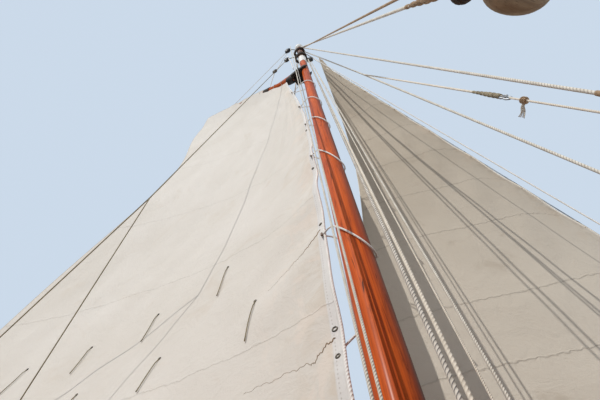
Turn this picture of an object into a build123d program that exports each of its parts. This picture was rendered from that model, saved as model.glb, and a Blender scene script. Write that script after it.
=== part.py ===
from build123d import *
import os
from math import sin, cos, tan, pi, radians, degrees, atan2, hypot, sqrt

os.makedirs("parts", exist_ok=True)

# Gaff sloop dinghy. Millimetres: +X to the bow, +Y to port, +Z up, waterline at z = 0.

# Hull driving dimensions
half_beam = 1010.0
beam_x = -200.0
bow_x = 2870.0
transom_x = -2760.0
transom_rake = 0.18
transom_half = 700.0
forefoot_x = 2250.0
stem_head_z = 800.0
sheer_low = 600.0
sheer_stern = 645.0
keel_z = -190.0
keel_aft_z = -70.0
keel_bottom = -265.0
keel_half = 30.0
plank = 12.0
lap = 18.0
land_gap = 0.9
seam_gap = 0.6
strakes = 6
stations = 12

# Spar driving dimensions
mast_x = 950.0
mast_foot_z = -150.0
mast_head_z = 6230.0
mast_low_r = 56.0
mast_mid_r = 41.0
mast_top_r = 33.0
mast_taper_z = 900.0
mast_mid_z = 3600.0
stay_z = 6050.0
throat_z = 4720.0
gaff_angle = 56.0
gaff_rise = 43.5
gaff_length = 1970.0
gaff_r = 31.0
boom_z = 700.0
boom_angle = 48.0
boom_length = 2960.0
boom_r = 30.0
boom_rise = 4.0
jaw_clear = 6.0
bowsprit_tip_x = 3580.0
bowsprit_z = 850.0
bowsprit_r = 34.0


def save(name, solid):
    export_step(solid, f"parts/{name}.step")


def both_sides(solid):
    return [solid, solid.mirror(Plane.XZ)]


# Hull lines: a point of land line t (0 keel, 1 sheer) at station s (0 transom, 1 stem)
def sheer_z(x):
    if x > -300:
        return sheer_low + (stem_head_z - sheer_low) * ((x + 300) / (bow_x + 300)) ** 2
    return sheer_low + (sheer_stern - sheer_low) * ((x + 300) / 2500) ** 2


def sheer_y(x):
    if x > beam_x:
        return keel_half + (half_beam - keel_half) * (1 - ((x - beam_x) / (bow_x - beam_x)) ** 2.3)
    return half_beam - (half_beam - transom_half) * ((beam_x - x) / (beam_x - transom_x)) ** 2


def rabbet_z(x):
    if x < -400:
        return keel_z + (keel_aft_z - keel_z) * ((-x - 400) / (-transom_x - 400)) ** 2
    return keel_z + 20 * (max(0.0, x - 600) / (forefoot_x - 600)) ** 2


def section_shape(t, s):
    vee = 0.12 + 0.1 * (1 - s) ** 2 + 0.6 * s ** 4
    a = t * pi / 2
    breadth = (1 - vee) * sin(a) ** 0.8 + vee * t
    height = (1 - vee) * (1 - cos(a)) ** 1.15 + vee * t ** 1.6
    return breadth, height


def hull_point(t, s):
    breadth, height = section_shape(t, s)
    stern_top = transom_x - transom_rake * sheer_stern
    top_x = stern_top + s * (bow_x - stern_top)
    low_z = rabbet_z(transom_x + s * (forefoot_x - transom_x))
    z = low_z + (sheer_z(top_x) - low_z) * height
    stern_z = keel_aft_z + (sheer_z(stern_top) - keel_aft_z) * section_shape(t, 0)[1]
    first = transom_x - transom_rake * stern_z
    last = forefoot_x + (bow_x - forefoot_x) * t ** 0.72
    y = keel_half + seam_gap + (sheer_y(top_x) - keel_half) * breadth
    return Vector(first + s * (last - first), y, z)


def stations_at(count, first=0.0, last=1.0):
    return [first + (last - first) * i / (count - 1) for i in range(count)]


def plank_frame(k, s):
    # outward normal of strake k and its corner points at station s
    low, high = hull_point(k / strakes, s), hull_point((k + 1) / strakes, s)
    mid = (k + 0.5) / strakes
    along = hull_point(mid, min(1.0, s + 0.01)) - hull_point(mid, max(0.0, s - 0.01))
    if k > 0:
        # the lower edge laps outside the strake below and never dips into it
        below_low, below_high, below_out = plank_frame(k - 1, s)
        corner = low + below_out * (plank + land_gap)
        by_width = corner - (high - corner).normalized() * lap
        by_below = corner - (below_high - below_low).normalized() * lap
        low = by_width if (by_width - by_below).dot(below_out) > 0 else by_below
    out = along.cross(high - low).normalized()
    if out.Y < 0:
        out = out * -1
    return low, high, out


def strake(k):
    sections = []
    for s in stations_at(stations):
        low, high, out = plank_frame(k, s)
        quad = [low, high, high + out * plank, low + out * plank]
        sections.append(Face(Wire.make_polygon(quad, close=True)))
    return loft(sections)


for k in range(strakes):
    save(f"strake_{k + 1}", Compound(both_sides(strake(k))))


def land_points(x):
    # the inside of the hull where the plane at x cuts it, at each land and halfway between, as y and z
    points = []
    for half in range(2 * strakes + 1):
        k = half // 2
        low, high = 0.0, 1.0
        for _ in range(22):
            s = (low + high) / 2
            p = hull_point(k / strakes, s)
            if half % 2:
                p = (p + hull_point((k + 1) / strakes, s)) * 0.5
            if p.X < x:
                low = s
            else:
                high = s
        points.append((p.Y, p.Z))
    return points


def inside_y(x, z):
    line = land_points(x)
    for (y0, z0), (y1, z1) in zip(line, line[1:]):
        if z0 <= z <= z1:
            return y0 + (y1 - y0) * (z - z0) / (z1 - z0)
    return line[-1][0] if z > line[-1][1] else line[0][0]


def inside_z(x, y):
    line = land_points(x)
    for (y0, z0), (y1, z1) in zip(line, line[1:]):
        if y0 <= y <= y1:
            return z0 + (z1 - z0) * (y - y0) / (y1 - y0)
    return line[0][1]


def side_plate(points, y_low, y_high):
    face = Face(Wire.make_polygon([Vector(x, y_low, z) for x, z in points], close=True))
    return Solid.extrude(face, Vector(0, y_high - y_low, 0))


def flat_board(points, z_low, z_high):
    face = Face(Wire.make_polygon([Vector(x, y, z_low) for x, y in points], close=True))
    return Solid.extrude(face, Vector(0, 0, z_high - z_low))


def block(x0, x1, y0, y1, z0, z1):
    return Pos((x0 + x1) / 2, (y0 + y1) / 2, (z0 + z1) / 2) * Box(x1 - x0, y1 - y0, z1 - z0)


def rod(start, end, r_start, r_end=None):
    start, end = Vector(*start), Vector(*end)
    axis = end - start
    plane = Plane(origin=start, z_dir=axis)
    if r_end is None or abs(r_end - r_start) < 1e-6:
        return Solid.make_cylinder(r_start, axis.length, plane)
    return Solid.make_cone(r_start, r_end, axis.length, plane)


# Backbone: keel with its slot, stem and transom
keel_proud = 12.0
case_slot_half = 9.0
case_aft_x = -425.0
case_fore_x = 575.0
stem_join_x = forefoot_x
keel_stations = (2249, 2000, 1750, 1500, 1250, 1000, 600, -470, -900, -1300, -1700, -2100, -2500, -2718)
keel_top = [(x, rabbet_z(x) + keel_proud) for x in keel_stations]
keel_low = [(-2760 - transom_rake * keel_bottom - 35, keel_bottom - 35), (1200, keel_bottom), (2249, rabbet_z(2250) - 60)]
keel = side_plate(keel_top + [(-2718, rabbet_z(-2747) - 0.7), (-2747, rabbet_z(-2747) - 0.7)] + keel_low, -keel_half, keel_half)
keel = keel - block(case_aft_x, case_fore_x, -case_slot_half, case_slot_half, -400, 100)
save("keel", keel)


def stem_line(t, offset):
    # a point beside the stem's rabbet line, offset forward of it
    here, after = hull_point(t, 1), hull_point(t + 0.001, 1)
    size = hypot(after.X - here.X, after.Z - here.Z)
    x = here.X + offset * (after.Z - here.Z) / size
    return Vector(x, -keel_half, here.Z - offset * (after.X - here.X) / size)


stem_ts = (0.0, 0.12, 0.3, 0.55, 0.8, 1.0)
outer = Edge.make_spline([stem_line(t, 60) for t in stem_ts])
inner = Edge.make_spline([stem_line(t, -42) for t in stem_ts])
head = Edge.make_line(outer @ 1, inner @ 1)
foot = Edge.make_line(inner @ 0, outer @ 0)
stem = Solid.extrude(Face(Wire([outer, head, inner, foot])), Vector(0, 2 * keel_half, 0))
save("stem", stem)

transom_thick = 26.0
transom_crown = 55.0
rim = [hull_point(k / strakes, 0) for k in range(strakes + 1)]
port = [Vector(p.X, p.Y - 0.6, p.Z) for p in rim]
star = [Vector(p.X, -(p.Y - 0.6), p.Z) for p in reversed(rim)]
crown = Vector(transom_x - transom_rake * (port[-1].Z + transom_crown), 0, port[-1].Z + transom_crown)
edges = [Edge.make_line(a, b) for a, b in zip(port, port[1:])]
edges.append(Edge.make_three_point_arc(port[-1], crown, star[0]))
edges += [Edge.make_line(a, b) for a, b in zip(star, star[1:])]
edges.append(Edge.make_line(star[-1], port[0]))
forward = Vector(1, 0, transom_rake).normalized()
transom = Solid.extrude(Face(Wire(edges)), forward * transom_thick)
save("transom", transom)

# Gunwales outside the planks and inwales inside the rib heads
gunwale_wide, gunwale_deep = 26.0, 40.0
inwale_wide, inwale_deep = 20.0, 34.0
rib_thick, rib_wide, rib_off = 12.0, 18.0, 2.8


def edge_bar(offset, wide, deep, first, last):
    sections = []
    for s in stations_at(stations, first, last):
        low, high, out = plank_frame(strakes - 1, s)
        down = (low - high).normalized() * deep
        a, b = high + out * offset, high + out * (offset + wide)
        sections.append(Face(Wire.make_polygon([a, b, b + down, a + down], close=True)))
    return loft(sections)


gunwale_pair = both_sides(edge_bar(plank + 0.5, gunwale_wide, gunwale_deep, 0.0, 1.0))
save("gunwales", Compound(gunwale_pair))
inwale = edge_bar(-rib_off - rib_thick - inwale_wide - 0.8, inwale_wide, inwale_deep, 0.01, 0.94)
save("inwales", Compound(both_sides(inwale)))

# Steamed ribs inside the planks
rib_step = (bow_x - transom_x) / 18.16
rib_first = transom_x + 280.0
rib_x = [rib_first + rib_step * i for i in range(16)]


def rib_face(x):
    line = land_points(x)
    line = [(max(y, keel_half + 0.9), z) for y, z in line]
    normals = []
    for (y0, z0), (y1, z1) in zip(line, line[1:]):
        size = hypot(y1 - y0, z1 - z0)
        normals.append((-(z1 - z0) / size, (y1 - y0) / size))
    joints = [normals[0]] + [((a[0] + b[0]) / 2, (a[1] + b[1]) / 2) for a, b in zip(normals, normals[1:])] + [normals[-1]]
    outside = [(y + n[0] * rib_off, z + n[1] * rib_off) for (y, z), n in zip(line, joints)]
    inside = [(y + n[0] * (rib_off + rib_thick), z + n[1] * (rib_off + rib_thick)) for (y, z), n in zip(line, joints)]
    outside[0] = (max(outside[0][0], keel_half + 0.5), outside[0][1])
    inside[0] = (outside[0][0], inside[0][1])
    inside[-1] = (inside[-1][0], outside[-1][1])
    loop = outside + inside[::-1]
    return Face(Wire.make_polygon([Vector(x, y, z) for y, z in loop], close=True))


ribs = []
for x in rib_x:
    ribs += both_sides(loft([rib_face(x - rib_wide / 2), rib_face(x + rib_wide / 2)], ruled=True))
inwale_pair = both_sides(inwale)
ribs = [rib - inwale_pair[i % 2] for i, rib in enumerate(ribs)]
save("ribs", Compound([solid for rib in ribs for solid in rib.solids()]))

# Risers, thwarts and stern benches
seat_z = 291.0
seat_thick = 26.0
riser_deep, riser_wide = 42.0, 16.0
rib_room = 19.0


def riser_face(x):
    y = inside_y(x, seat_z - riser_deep) - rib_room
    z = seat_z - 0.5
    return Face(Wire.make_polygon([Vector(x, y, z), Vector(x, y - riser_wide, z), Vector(x, y - riser_wide, z - riser_deep), Vector(x, y, z - riser_deep)], close=True))


riser = loft([riser_face(x) for x in (-2560, -1800, -1000, -200, 500, 1100, 1650)])
save("risers", Compound(both_sides(riser)))


def seat(x0, x1, top=None):
    ends = [(x, inside_y(x, seat_z) - rib_room) for x in (x0, (x0 + x1) / 2, x1)]
    return flat_board(ends + [(x, -y) for x, y in reversed(ends)], seat_z, seat_z + seat_thick)


mast_thwart_x = (830.0, 1075.0)
middle_thwart_x = (-130.0, 110.0)
thwart_hole_r = mast_low_r + 1.0
mast_thwart = seat(*mast_thwart_x) - Pos(mast_x, 0, seat_z) * Cylinder(thwart_hole_r, 100)
save("mast_thwart", mast_thwart)
save("middle_thwart", seat(*middle_thwart_x))

stern_slats = []
for i in range(4):
    x0 = transom_x + 120 + 132 * i
    stern_slats.append(seat(x0, x0 + 122))
bench_aft_x, bench_fore_x = transom_x + 665.0, middle_thwart_x[0] - 770.0
side_x = [bench_aft_x + (bench_fore_x - bench_aft_x) * share for share in (0.0, 0.33, 0.665, 1.0)]
outer_edge = [(x, inside_y(x, seat_z) - rib_room) for x in side_x]
for wide_from, wide_to in ((0.0, 118.0), (128.0, 246.0)):
    board = [(x, y - wide_from) for x, y in outer_edge] + [(x, y - wide_to) for x, y in reversed(outer_edge)]
    stern_slats += both_sides(flat_board(board, seat_z, seat_z + seat_thick))
save("stern_benches", Compound(stern_slats))
brackets = []
for x in (bench_aft_x + 35, (bench_aft_x + bench_fore_x) / 2, bench_fore_x - 40):
    outer_y = inside_y(x, seat_z) - rib_room
    inner_y = inside_y(x, seat_z - riser_deep) - rib_room - riser_wide - 5.0
    brackets += both_sides(block(x - 15, x + 15, outer_y - 250, inner_y, seat_z - 32, seat_z - 0.5))
save("bench_brackets", Compound(brackets))

# Floorboards on cross bearers
sole_z = -82.0
sole_thick = 14.0
boards = []
for i in range(4):
    y0, y1 = 42 + 104 * i, 42 + 104 * i + 94
    xs = [x for x in range(-2300, 2000, 50) if inside_z(x, y1) < sole_z - 20]
    aft, fore = min(xs), max(xs)
    boards += both_sides(flat_board([(aft, y0), (fore, y0), (fore, y1), (aft, y1)], sole_z, sole_z + sole_thick))
save("floorboards", Compound(boards))
bearers = []
for bay in (2.5, 4.5, 6.5, 10.5, 12.5):
    x = rib_first + rib_step * bay
    ys = [y for y in [keel_half + 0.7] + list(range(50, 480, 20)) if max(inside_z(x - 20, y), inside_z(x + 20, y)) < sole_z - 12]
    low = [(y, max(inside_z(x - 20, y), inside_z(x + 20, y)) + 5) for y in (ys[0], ys[len(ys) // 2], ys[-1])]
    loop = low + [(ys[-1], sole_z - 0.5), (ys[0], sole_z - 0.5)]
    face = Face(Wire.make_polygon([Vector(x - 18, y, z) for y, z in loop], close=True))
    bearers += both_sides(Solid.extrude(face, Vector(36, 0, 0)))
save("floor_bearers", Compound(bearers))

# Centreboard case, pin and plate
case_wall = 18.0
case_base_z = keel_z + keel_proud + 0.5
pivot_x, pivot_z = 430.0, -120.0
pivot_r = 8.0
case = block(case_aft_x - 20, case_fore_x + 20, -case_slot_half - case_wall, case_slot_half + case_wall, case_base_z, seat_z - 0.5)
case = case - block(case_aft_x, case_fore_x, -case_slot_half, case_slot_half, case_base_z - 10, seat_z + 10)
pin_at = Pos(pivot_x, 0, pivot_z) * Rot(90, 0, 0)
case = case - pin_at * Cylinder(pivot_r + 0.3, 200)
save("centreboard_case", case)
pin = pin_at * Cylinder(pivot_r, 2 * (case_slot_half + case_wall) + 4)
for side in (-1, 1):
    pin = pin + Pos(pivot_x, side * (case_slot_half + case_wall + 4.5), pivot_z) * Rot(90, 0, 0) * Cylinder(16, 6)
save("centreboard_pin", pin)

board_down = 55.0
board_thick = 8.0
nose_r = 130.0
raised = [(-790, -nose_r), (-800, 150), (-770, 300), (40, 300), (nose_r * cos(radians(25)), nose_r * sin(radians(25)))]
arc_points = [(nose_r * cos(radians(a)), nose_r * sin(radians(a))) for a in (0, -25, -50, -75, -90)]
outline = [(pivot_x + x, pivot_z + z) for x, z in raised + arc_points]
board = side_plate(outline, -board_thick / 2, board_thick / 2)
board = board - pin_at * Cylinder(pivot_r + 0.08, 100)
board = board.rotate(Axis((pivot_x, 0, pivot_z), (0, 1, 0)), -board_down)
save("centreboard", board)

# Rudder hung on two gudgeons, with its tiller
rudder_gap = 45.0
axis_dir = Vector(-transom_rake, 0, 1).normalized()


def on_axis(u, z, y=0.0):
    # point u aft of the rudder axis at the height z where the axis passes
    return Vector(transom_x - rudder_gap - transom_rake * z - u, y, z)


rudder_half = 14.0
gudgeon_z = (20.0, 430.0)
gudgeon_tall = 30.0
pintle_r = 6.0
eye_r = 15.0
notch_deep = 24.0
outline = [(8, 778), (150, 778), (158, 556), (112, 430), (126, 160), (250, -120), (330, -400), (300, -500), (40, -470), (8, -330)]
face = Face(Wire.make_polygon([on_axis(u, z, -rudder_half) for u, z in outline], close=True))
rudder = Solid.extrude(face, Vector(0, 2 * rudder_half, 0))
for z in gudgeon_z:
    cut = [on_axis(-30, z - 8, -50), on_axis(notch_deep, z - 8, -50), on_axis(notch_deep, z + 64, -50), on_axis(-30, z + 64, -50)]
    rudder = rudder - Solid.extrude(Face(Wire.make_polygon(cut, close=True)), Vector(0, 100, 0))
save("rudder", rudder)

gudgeons, pintles = [], []
for z in gudgeon_z:
    base = Plane(origin=on_axis(0, z), z_dir=axis_dir, x_dir=Vector(1, 0, transom_rake))
    eye = Solid.make_cylinder(eye_r, gudgeon_tall, base)
    arm = base * Pos(24, 0, gudgeon_tall / 2) * Box(38, 16, gudgeon_tall)
    pad = base * Pos(rudder_gap - 3.5, 0, gudgeon_tall / 2) * Box(5, 60, gudgeon_tall + 50)
    hole = base * Pos(0, 0, gudgeon_tall / 2) * Cylinder(pintle_r + 0.08, 200)
    gudgeons.append(eye + arm + pad - hole)
    head = base * Pos(0, 0, gudgeon_tall + 1 + 12) * Cylinder(eye_r, 24)
    shank = base * Pos(0, 0, gudgeon_tall / 2 + 5) * Cylinder(pintle_r, gudgeon_tall + 18)
    neck = base * Pos(-14, 0, gudgeon_tall + 13) * Box(16, 2 * rudder_half + 8, 24)
    pintle = head + shank + neck
    for side in (-1, 1):
        pintle = pintle + base * Pos(-68, side * (rudder_half + 2.3), gudgeon_tall + 13) * Box(100, 3.6, 24)
    pintles.append(pintle)
save("gudgeons", Compound(gudgeons))
save("pintles", Compound(pintles))

tiller_z = 740.0
cheek_wide = 12.0
tiller = None
for side in (-1, 1):
    y = side * (rudder_half + 0.4 + cheek_wide / 2)
    cheek = Pos(on_axis(55, tiller_z).X, y, tiller_z) * Box(170, cheek_wide, 44)
    tiller = cheek if tiller is None else tiller + cheek
grip = []
for u, z, wide, tall in ((-18, tiller_z, 2 * rudder_half + 0.8 + 2 * cheek_wide, 44), (-380, tiller_z - 8, 38, 36), (-1050, tiller_z - 62, 26, 26)):
    c = on_axis(u, tiller_z)
    corners = [Vector(c.X, y, zz) for y, zz in ((-wide / 2, z - tall / 2), (wide / 2, z - tall / 2), (wide / 2, z + tall / 2), (-wide / 2, z + tall / 2))]
    grip.append(Face(Wire.make_polygon(corners, close=True)))
tiller = tiller + loft(grip)
save("tiller", tiller)

# Mast step, mast, collar and masthead
step_top_z = -90.0
step = block(mast_x - 120, mast_x + 120, -keel_half, keel_half, rabbet_z(mast_x + 120) + keel_proud + 0.4, step_top_z)
step = step - block(mast_x - 34, mast_x + 34, -20, 20, mast_foot_z, 0)
save("mast_step", step)


def mast_r(z):
    if z < mast_taper_z:
        return mast_low_r
    if z < mast_mid_z:
        return mast_low_r + (mast_mid_r - mast_low_r) * (z - mast_taper_z) / (mast_mid_z - mast_taper_z)
    return mast_mid_r + (mast_top_r - mast_mid_r) * (z - mast_mid_z) / (mast_head_z - mast_mid_z)


heel = block(mast_x - 33.6, mast_x + 33.6, -19.6, 19.6, mast_foot_z + 0.5, -40)
profile = [(0, -60), (mast_low_r, -60), (mast_low_r, mast_taper_z), (mast_mid_r, mast_mid_z), (mast_top_r, mast_head_z), (0, mast_head_z)]
turned = revolve(Face(Wire.make_polygon([Vector(r, 0, z) for r, z in profile], close=True)), Axis.Z, 360)
mast = Pos(mast_x, 0, 0) * turned + heel
save("mast", mast)

hound_z = 5330.0
hound_tall = 300.0


def ring(z, r_in, r_out, tall):
    return Pos(mast_x, 0, z) * (Cylinder(r_out, tall) - Cylinder(r_in, tall * 2))


save("mast_collar", ring(hound_z, mast_r(hound_z - hound_tall / 2) + 0.4, mast_r(hound_z) + 6, hound_tall))
truck_r = 40.0
cap = Pos(mast_x, 0, mast_head_z + 0.4 + 30) * Cylinder(18, 60)
half_turn = [(truck_r * cos(radians(a)), truck_r * sin(radians(a))) for a in range(-90, 91, 18)]
lathe = Face(Wire.make_polygon([Vector(max(0.0, x), 0, z) for x, z in half_turn], close=True))
ball = Pos(mast_x, 0, mast_head_z + 60 + truck_r - 4) * revolve(lathe, Axis.Z, 360)
save("mast_truck", cap + ball)

band_r = mast_r(stay_z) + 0.4
band_tall = 40.0
band = ring(stay_z, band_r, band_r + 4, band_tall)
for angle in (0, 90, 180, 270):
    lug = Pos(band_r + 14, 0, 0) * Box(24, 6, 26)
    band = band + Pos(mast_x, 0, stay_z) * Rot(0, 0, angle) * lug
save("mast_band", band)

# Boom, gaff and mainsail, which swing together about the mast
boom_dir = Vector(-cos(radians(boom_angle)) * cos(radians(boom_rise)), sin(radians(boom_angle)) * cos(radians(boom_rise)), sin(radians(boom_rise)))
gaff_dir = Vector(-cos(radians(gaff_angle)) * cos(radians(gaff_rise)), sin(radians(gaff_angle)) * cos(radians(gaff_rise)), sin(radians(gaff_rise)))
boom_start = mast_low_r + jaw_clear + 40
gaff_out = 72.0
gaff_first = 30.0
gaff_flat = Vector(gaff_dir.X, gaff_dir.Y, 0).normalized()
boom_root = Vector(mast_x, 0, boom_z)
gaff_root = Vector(mast_x, 0, throat_z) + gaff_flat * gaff_out


def spar(root, direction, first, last, r_first, r_mid, r_last):
    a, b, c = (root + direction * d for d in (first, (first + last) / 2, last))
    return rod(a, b, r_first, r_mid) + rod(b, c, r_mid, r_last)


save("boom", spar(boom_root, boom_dir, boom_start, boom_length, boom_r - 2, boom_r + 3, boom_r - 6))
save("gaff", spar(gaff_root, gaff_dir, gaff_first, gaff_length, gaff_r, gaff_r + 1, gaff_r - 9))


def jaws(direction, start, z, r_spar, r_mast):
    # two flat cheeks beside the spar that curve forward round the mast
    flat = Vector(direction.X, direction.Y, 0).normalized()
    base = Plane(origin=Vector(mast_x, 0, z), x_dir=flat, z_dir=Vector(0, 0, 1))
    half = r_mast + jaw_clear
    outside = half + 24
    plate = Pos(start / 2 + 10, 0, 0) * Box(start + 20, 2 * outside, 40)
    plate = plate + Cylinder(outside, 40) - Cylinder(half, 80)
    plate = plate - Pos(-outside - 12, 0, 0) * Box(2 * outside, 2 * half, 80)
    tilt = degrees(atan2(direction.Z, hypot(direction.X, direction.Y)))
    return base, plate, tilt


base, plate, tilt = jaws(boom_dir, boom_start, boom_z, boom_r, mast_low_r)
boom_jaws = plate - Rot(0, 90 - tilt, 0) * Pos(0, 0, boom_start - 0.5 + 500) * Cylinder(boom_r + 3, 1000)
save("boom_jaws", base * boom_jaws)
rest_z = boom_z - 20 - 0.5
save("boom_rest", ring(rest_z - 15, mast_low_r + 0.4, mast_low_r + 26, 30))

jaw_tall = 60.0
jaw_fit = mast_r(throat_z - jaw_tall / 2) + 0.7
jaw_wall = 22.0
base = Plane(origin=Vector(mast_x, 0, throat_z), x_dir=gaff_flat, z_dir=Vector(0, 0, 1))
plate = Pos(70, 0, 0) * Box(140, 2 * (jaw_fit + jaw_wall), jaw_tall) + Cylinder(jaw_fit + jaw_wall, jaw_tall)
plate = plate - Cylinder(jaw_fit, 200) - Pos(-jaw_fit - jaw_wall, 0, 0) * Box(2 * jaw_fit, 2 * jaw_fit, 200)
gaff_seat = Pos(gaff_out, 0, 0) * Rot(0, 90 - gaff_rise, 0)
socket = gaff_seat * Pos(0, 0, gaff_first - 0.5 + 500) * Cylinder(gaff_r + 0.5, 1000)
save("gaff_jaws", base * (plate - socket))
leather_long = 150.0
sleeve = Cylinder(gaff_r + 8, leather_long) - Cylinder(gaff_r + 0.7, 2 * leather_long)
sleeve = gaff_seat * Pos(0, 0, gaff_first + leather_long / 2) * sleeve
save("gaff_leather", base * (sleeve - Pos(70, 0, -170 + jaw_tall / 2 + 0.5) * Box(400, 400, 340)))

# Mainsail as a thin cambered sheet between its luff, boom and gaff
cloth = 4.0
luff_off = 100.0
foot_lift = 36.0
tack_z = boom_z + foot_lift + luff_off * tan(radians(boom_rise))
foot_long = boom_length - 140.0
head_first = gaff_first + leather_long + 15
head_long = gaff_length - 70.0
leech_hollow = 500.0
luff_hollow = 95.0
main_camber = 0.075
gaff_drop = gaff_r + 1.7


def sail_section(luff, leech, camber, side):
    # a thin strip that bellies to leeward in eight flats
    chord = leech - luff
    flat = Vector(chord.X, chord.Y, 0).normalized()
    away = Vector(flat.Y, -flat.X, 0) * side
    line = []
    for i in range(9):
        share = i / 8
        belly = 4 * share * (1 - share) * (1.25 - 0.5 * share) * camber
        line.append(luff + chord * share + away * belly * chord.length)
    back = [point - away * cloth for point in reversed(line)]
    return Face(Wire.make_polygon(line + back, close=True))


def luff_curve(u):
    # how far the hoops draw the luff in towards the mast
    return luff_hollow * sin(pi * u ** 1.55)


boom_flat = Vector(boom_dir.X, boom_dir.Y, 0).normalized()
tack = Vector(mast_x, 0, tack_z) + boom_flat * luff_off
clew = boom_root + boom_dir * foot_long + Vector(0, 0, foot_lift)
gaff_up = Vector(0, 0, cos(radians(gaff_rise))) - gaff_flat * sin(radians(gaff_rise))
throat = gaff_root + gaff_dir * head_first - gaff_up * gaff_drop
peak = gaff_root + gaff_dir * head_long - gaff_up * gaff_drop
sections = []
luff_line = []
for u in stations_at(9):
    luff = tack + (throat - tack) * u
    leech = clew + (peak - clew) * u
    inward = (luff - leech).normalized()
    leech = leech + inward * leech_hollow * max(0.0, sin(pi * u ** 1.6)) ** 2.6
    luff = luff + inward * luff_curve(u)
    swell = 0.002 + main_camber * max(0.0, sin(pi * u)) ** 0.8
    luff_line.append(luff)
    sections.append(sail_section(luff, leech, swell, 1))
save("mainsail", loft(sections, ruled=True))

def luff_at(z):
    for low, high in zip(luff_line, luff_line[1:]):
        if low.Z <= z <= high.Z:
            return low + (high - low) * ((z - low.Z) / (high.Z - low.Z))
    return luff_line[-1]


# Mast hoops, which reach from the luff round the front of the mast
hoop_r = 5.0
hoop_heights = (980.0, 1450.0, 2180.0, 2880.0, 3440.0, 4060.0)
hoops = []
for z in hoop_heights:
    luff = luff_at(z)
    reach = hypot(luff.X - mast_x, luff.Y) - 0.5 - hoop_r
    front = mast_r(z) + jaw_clear + 2 + hoop_r
    turn = degrees(atan2(luff.Y, luff.X - mast_x))
    middle = (reach + front) / 2
    corners = [Vector(middle + hoop_r * cos(radians(a)), 0, hoop_r * sin(radians(a))) for a in (0, 60, 120, 180, 240, 300)]
    hoop = Pos((reach - front) / 2, 0, 0) * revolve(Face(Wire.make_polygon(corners, close=True)), Axis.Z, 360)
    hoops.append(Pos(mast_x, 0, z) * Rot(0, 0, turn) * hoop)
save("mast_hoops", Compound(hoops))

# Bowsprit, forestay, bobstay and jib
sprit_heel_x = bow_x - 690.0
sprit_bend_x = bow_x + 30.0
sprit = rod((sprit_heel_x, 0, bowsprit_z), (sprit_bend_x, 0, bowsprit_z), bowsprit_r, bowsprit_r)
sprit = sprit + rod((sprit_bend_x, 0, bowsprit_z), (bowsprit_tip_x + 40, 0, bowsprit_z), bowsprit_r, bowsprit_r - 11)
save("bowsprit", sprit)
iron = Pos(bowsprit_tip_x - 20, 0, bowsprit_z) * Rot(0, 90, 0) * (Cylinder(bowsprit_r - 3, 34) - Cylinder(bowsprit_r - 9, 80))
for z in (1, -1):
    iron = iron + Pos(bowsprit_tip_x - 20, 0, bowsprit_z + z * (bowsprit_r + 6)) * Box(26, 6, 26)
save("cranse_iron", iron)
breast_z = stem_head_z - 48.0
breast_thick = 34.0
breast_at = [(bow_x - back, room) for back, room in ((570, 44), (365, 44), (340, 9), (210, 9), (100, 9))]
breast = [(x, inside_y(x, breast_z) - room) for x, room in breast_at]
breast_loop = breast + [(x, -y) for x, y in reversed(breast)]
save("breasthook", flat_board(breast_loop, breast_z, breast_z + breast_thick))
bitt_x = bow_x - 570.0
chock = block(bitt_x, bitt_x + 120, -45, 45, breast_z + breast_thick + 0.5, bowsprit_z + bowsprit_r + 22)
chock = chock - rod((bitt_x - 100, 0, bowsprit_z), (bitt_x + 300, 0, bowsprit_z), bowsprit_r + 0.5)
save("bowsprit_bitt", chock)

stay_r = 4.0
stay_low = Vector(bowsprit_tip_x - 20, 0, bowsprit_z + bowsprit_r + 22)
stay_high = Vector(mast_x + band_r + 24, 0, stay_z)
bob_low = stem_line(0.45, 30) + Vector(0, keel_half, 0)
save("bobstay", rod((bowsprit_tip_x - 20, 0, bowsprit_z - bowsprit_r - 12), bob_low, stay_r) - iron - stem)

# Shrouds to chainplates on the gunwales
shroud_r = 6.5
lanyard_r = 3.0
deadeye_r, deadeye_thick = 34.0, 30.0
shroud_table = (
    # name, x at the gunwale, drop below the mast band
    ("main", 880.0, 0.0),
    ("fore", 1440.0, 12.0),
)


def gunwale_y(x):
    return inside_y(x, sheer_z(x)) + plank + 0.5 + gunwale_wide


shrouds, deadeyes, plates = [], [], []
for name, x, drop in shroud_table:
    bend = degrees(atan2(gunwale_y(x + 40) - gunwale_y(x - 40), 80))
    out_y = gunwale_y(x) + 2.6
    foot = Vector(x, out_y, sheer_z(x) + 60)
    top = Vector(mast_x + drop, band_r + 20, stay_z - drop)
    run = (top - foot).normalized()
    low_block, high_block = foot + run * 40, foot + run * 330
    strap = Pos(x, out_y, sheer_z(x) - 65) * Rot(0, 0, bend) * Box(32, 5, 250) - gunwale_pair[0]
    eyes = []
    for point in (low_block, high_block):
        disc = Plane(origin=point, z_dir=Vector(0, 1, 0)) * Cylinder(deadeye_r, deadeye_thick)
        eyes.append(disc)
    eyes[0] = eyes[0] - strap
    for dx in (-18, 0, 18):
        lanyard = rod(low_block + Vector(dx, 0, 6), high_block + Vector(dx, 0, -6), lanyard_r)
        shrouds += both_sides(lanyard - eyes[0] - eyes[1])
    shrouds += both_sides(rod(high_block + run * 20, top, shroud_r) - eyes[1] - band)
    plates += both_sides(strap)
    deadeyes += both_sides(eyes[0]) + both_sides(eyes[1])
save("shrouds", Compound([solid for item in shrouds for solid in item.solids()]))
save("deadeyes", Compound(deadeyes))
save("chainplates", Compound(plates))

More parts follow.
